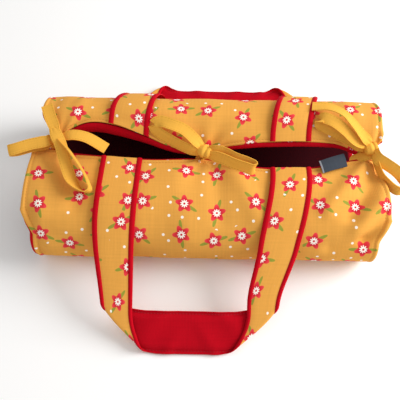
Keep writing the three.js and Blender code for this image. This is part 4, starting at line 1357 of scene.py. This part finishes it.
for side, name in SIDE_NAMES.items():
    q = np.linspace(0.04, 0.965, 60)
    lines = [on_panel(side, end * (half_length(side, end, q) - SEAM_FROM_EDGE), q) for end in (-1, 1)]
    left, right = (half_length(side, end, 1.0) - WADDING_INSET for end in (-1, 1))
    x = np.linspace(-left, right, 180)
    lines.append(on_panel(side, x, panels[side].back_from_mouth(x, SEAM_FROM_EDGE)))
    hang_on_fold(sew(f"{name}_panel_stitches", lines, mustard_thread))
    handle = handles[side]
    seams = []
    for place, height, way in HANDLE_SEAMS:
        for across in (np.array([-place]), np.array([place])):
            low, high = (handle.ribbon(across, np.array([z]))[0][:, 0] for z in (height, height + way))
            seams.append((low, high - low))
    bands = handle.ribbon(band_across, band_height)[0]
    for part, rows in HANDLE_PARTS.items():
        lines = [(low[rows], up[rows]) for low, up in seams[:2]]
        if part == "handle":
            lines += [(low[GRIP_FROM:-GRIP_FROM], up[GRIP_FROM:-GRIP_FROM]) for low, up in seams[2:]]
        sewn = sew(f"{name}_{part}_stitches", lines, crimson_thread)
        hang_handle(sewn, side, part, bands[rows])

# %% [markdown]
# The camera looks steeply down from the front, with the frame turned by about a degree, as in the picture
# that the carrier is modelled from.

# %% Camera
CAMERA_TARGET = Vector((-6.5, -30.1, 35.0)) * MM
CAMERA_ELEVATION = math.radians(62.2)
CAMERA_DISTANCE = 0.5896  # metres
CAMERA_ROLL = math.radians(1.07)
CAMERA_LENS = 49.4

bpy.ops.object.camera_add()
camera = bpy.context.object
camera.data.lens = CAMERA_LENS
camera.data.sensor_width = 36
back = Vector((0, -math.cos(CAMERA_ELEVATION), math.sin(CAMERA_ELEVATION)))
camera.location = CAMERA_TARGET + back * CAMERA_DISTANCE
facing = (-back).to_track_quat("-Z", "Y") @ Quaternion((0, 0, 1), CAMERA_ROLL)
camera.rotation_euler = facing.to_euler()
bpy.context.scene.camera = camera
print("camera at", [round(1000 * c) for c in camera.location], "mm")

# %% [markdown]
# The light is a large soft lamp low on the right, with a pale sky all round, over a plain matt white floor. A
# large lamp gives soft shadows, and the sky keeps them open, so every colour looks about as it is written.

# %% Light and floor
FLOOR_WHITE = (0.985, 0.985, 0.985, 1)
LAMP_PLACE = Vector((1.35, 0.15, 0.8))  # metres
LAMP_TARGET = Vector((0, 0, 0.04))
LAMP_POWER = 28
LAMP_SIZE = 1.0
SKY_WHITE = (1.0, 0.99, 0.97, 1)
SKY_STRENGTH = 0.62

bpy.ops.mesh.primitive_plane_add(size=8)
floor = bpy.context.object
floor.name = "floor"
floor_white = start_material("floor white", {"Base Color": FLOOR_WHITE, "Roughness": 0.9})[0]
floor.data.materials.append(floor_white)
floor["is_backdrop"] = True

bpy.ops.object.light_add(type="AREA", location=LAMP_PLACE)
lamp = bpy.context.object
lamp.data.energy = LAMP_POWER
lamp.data.shape = "DISK"
lamp.data.size = LAMP_SIZE
lamp.rotation_euler = (LAMP_TARGET - LAMP_PLACE).to_track_quat("-Z", "Y").to_euler()
world = bpy.data.worlds.new("studio")
world.use_nodes = True
sky = world.node_tree.nodes["Background"]
sky.inputs["Color"].default_value = SKY_WHITE
sky.inputs["Strength"].default_value = SKY_STRENGTH
bpy.context.scene.world = world
bpy.context.scene.view_settings.view_transform = "Standard"
print("lamp:", LAMP_POWER, "W, sky:", SKY_STRENGTH)

# %% Sizes, and the end
low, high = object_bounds()
print("visual box:", [round(1000 * side) for side in high - low], "mm")
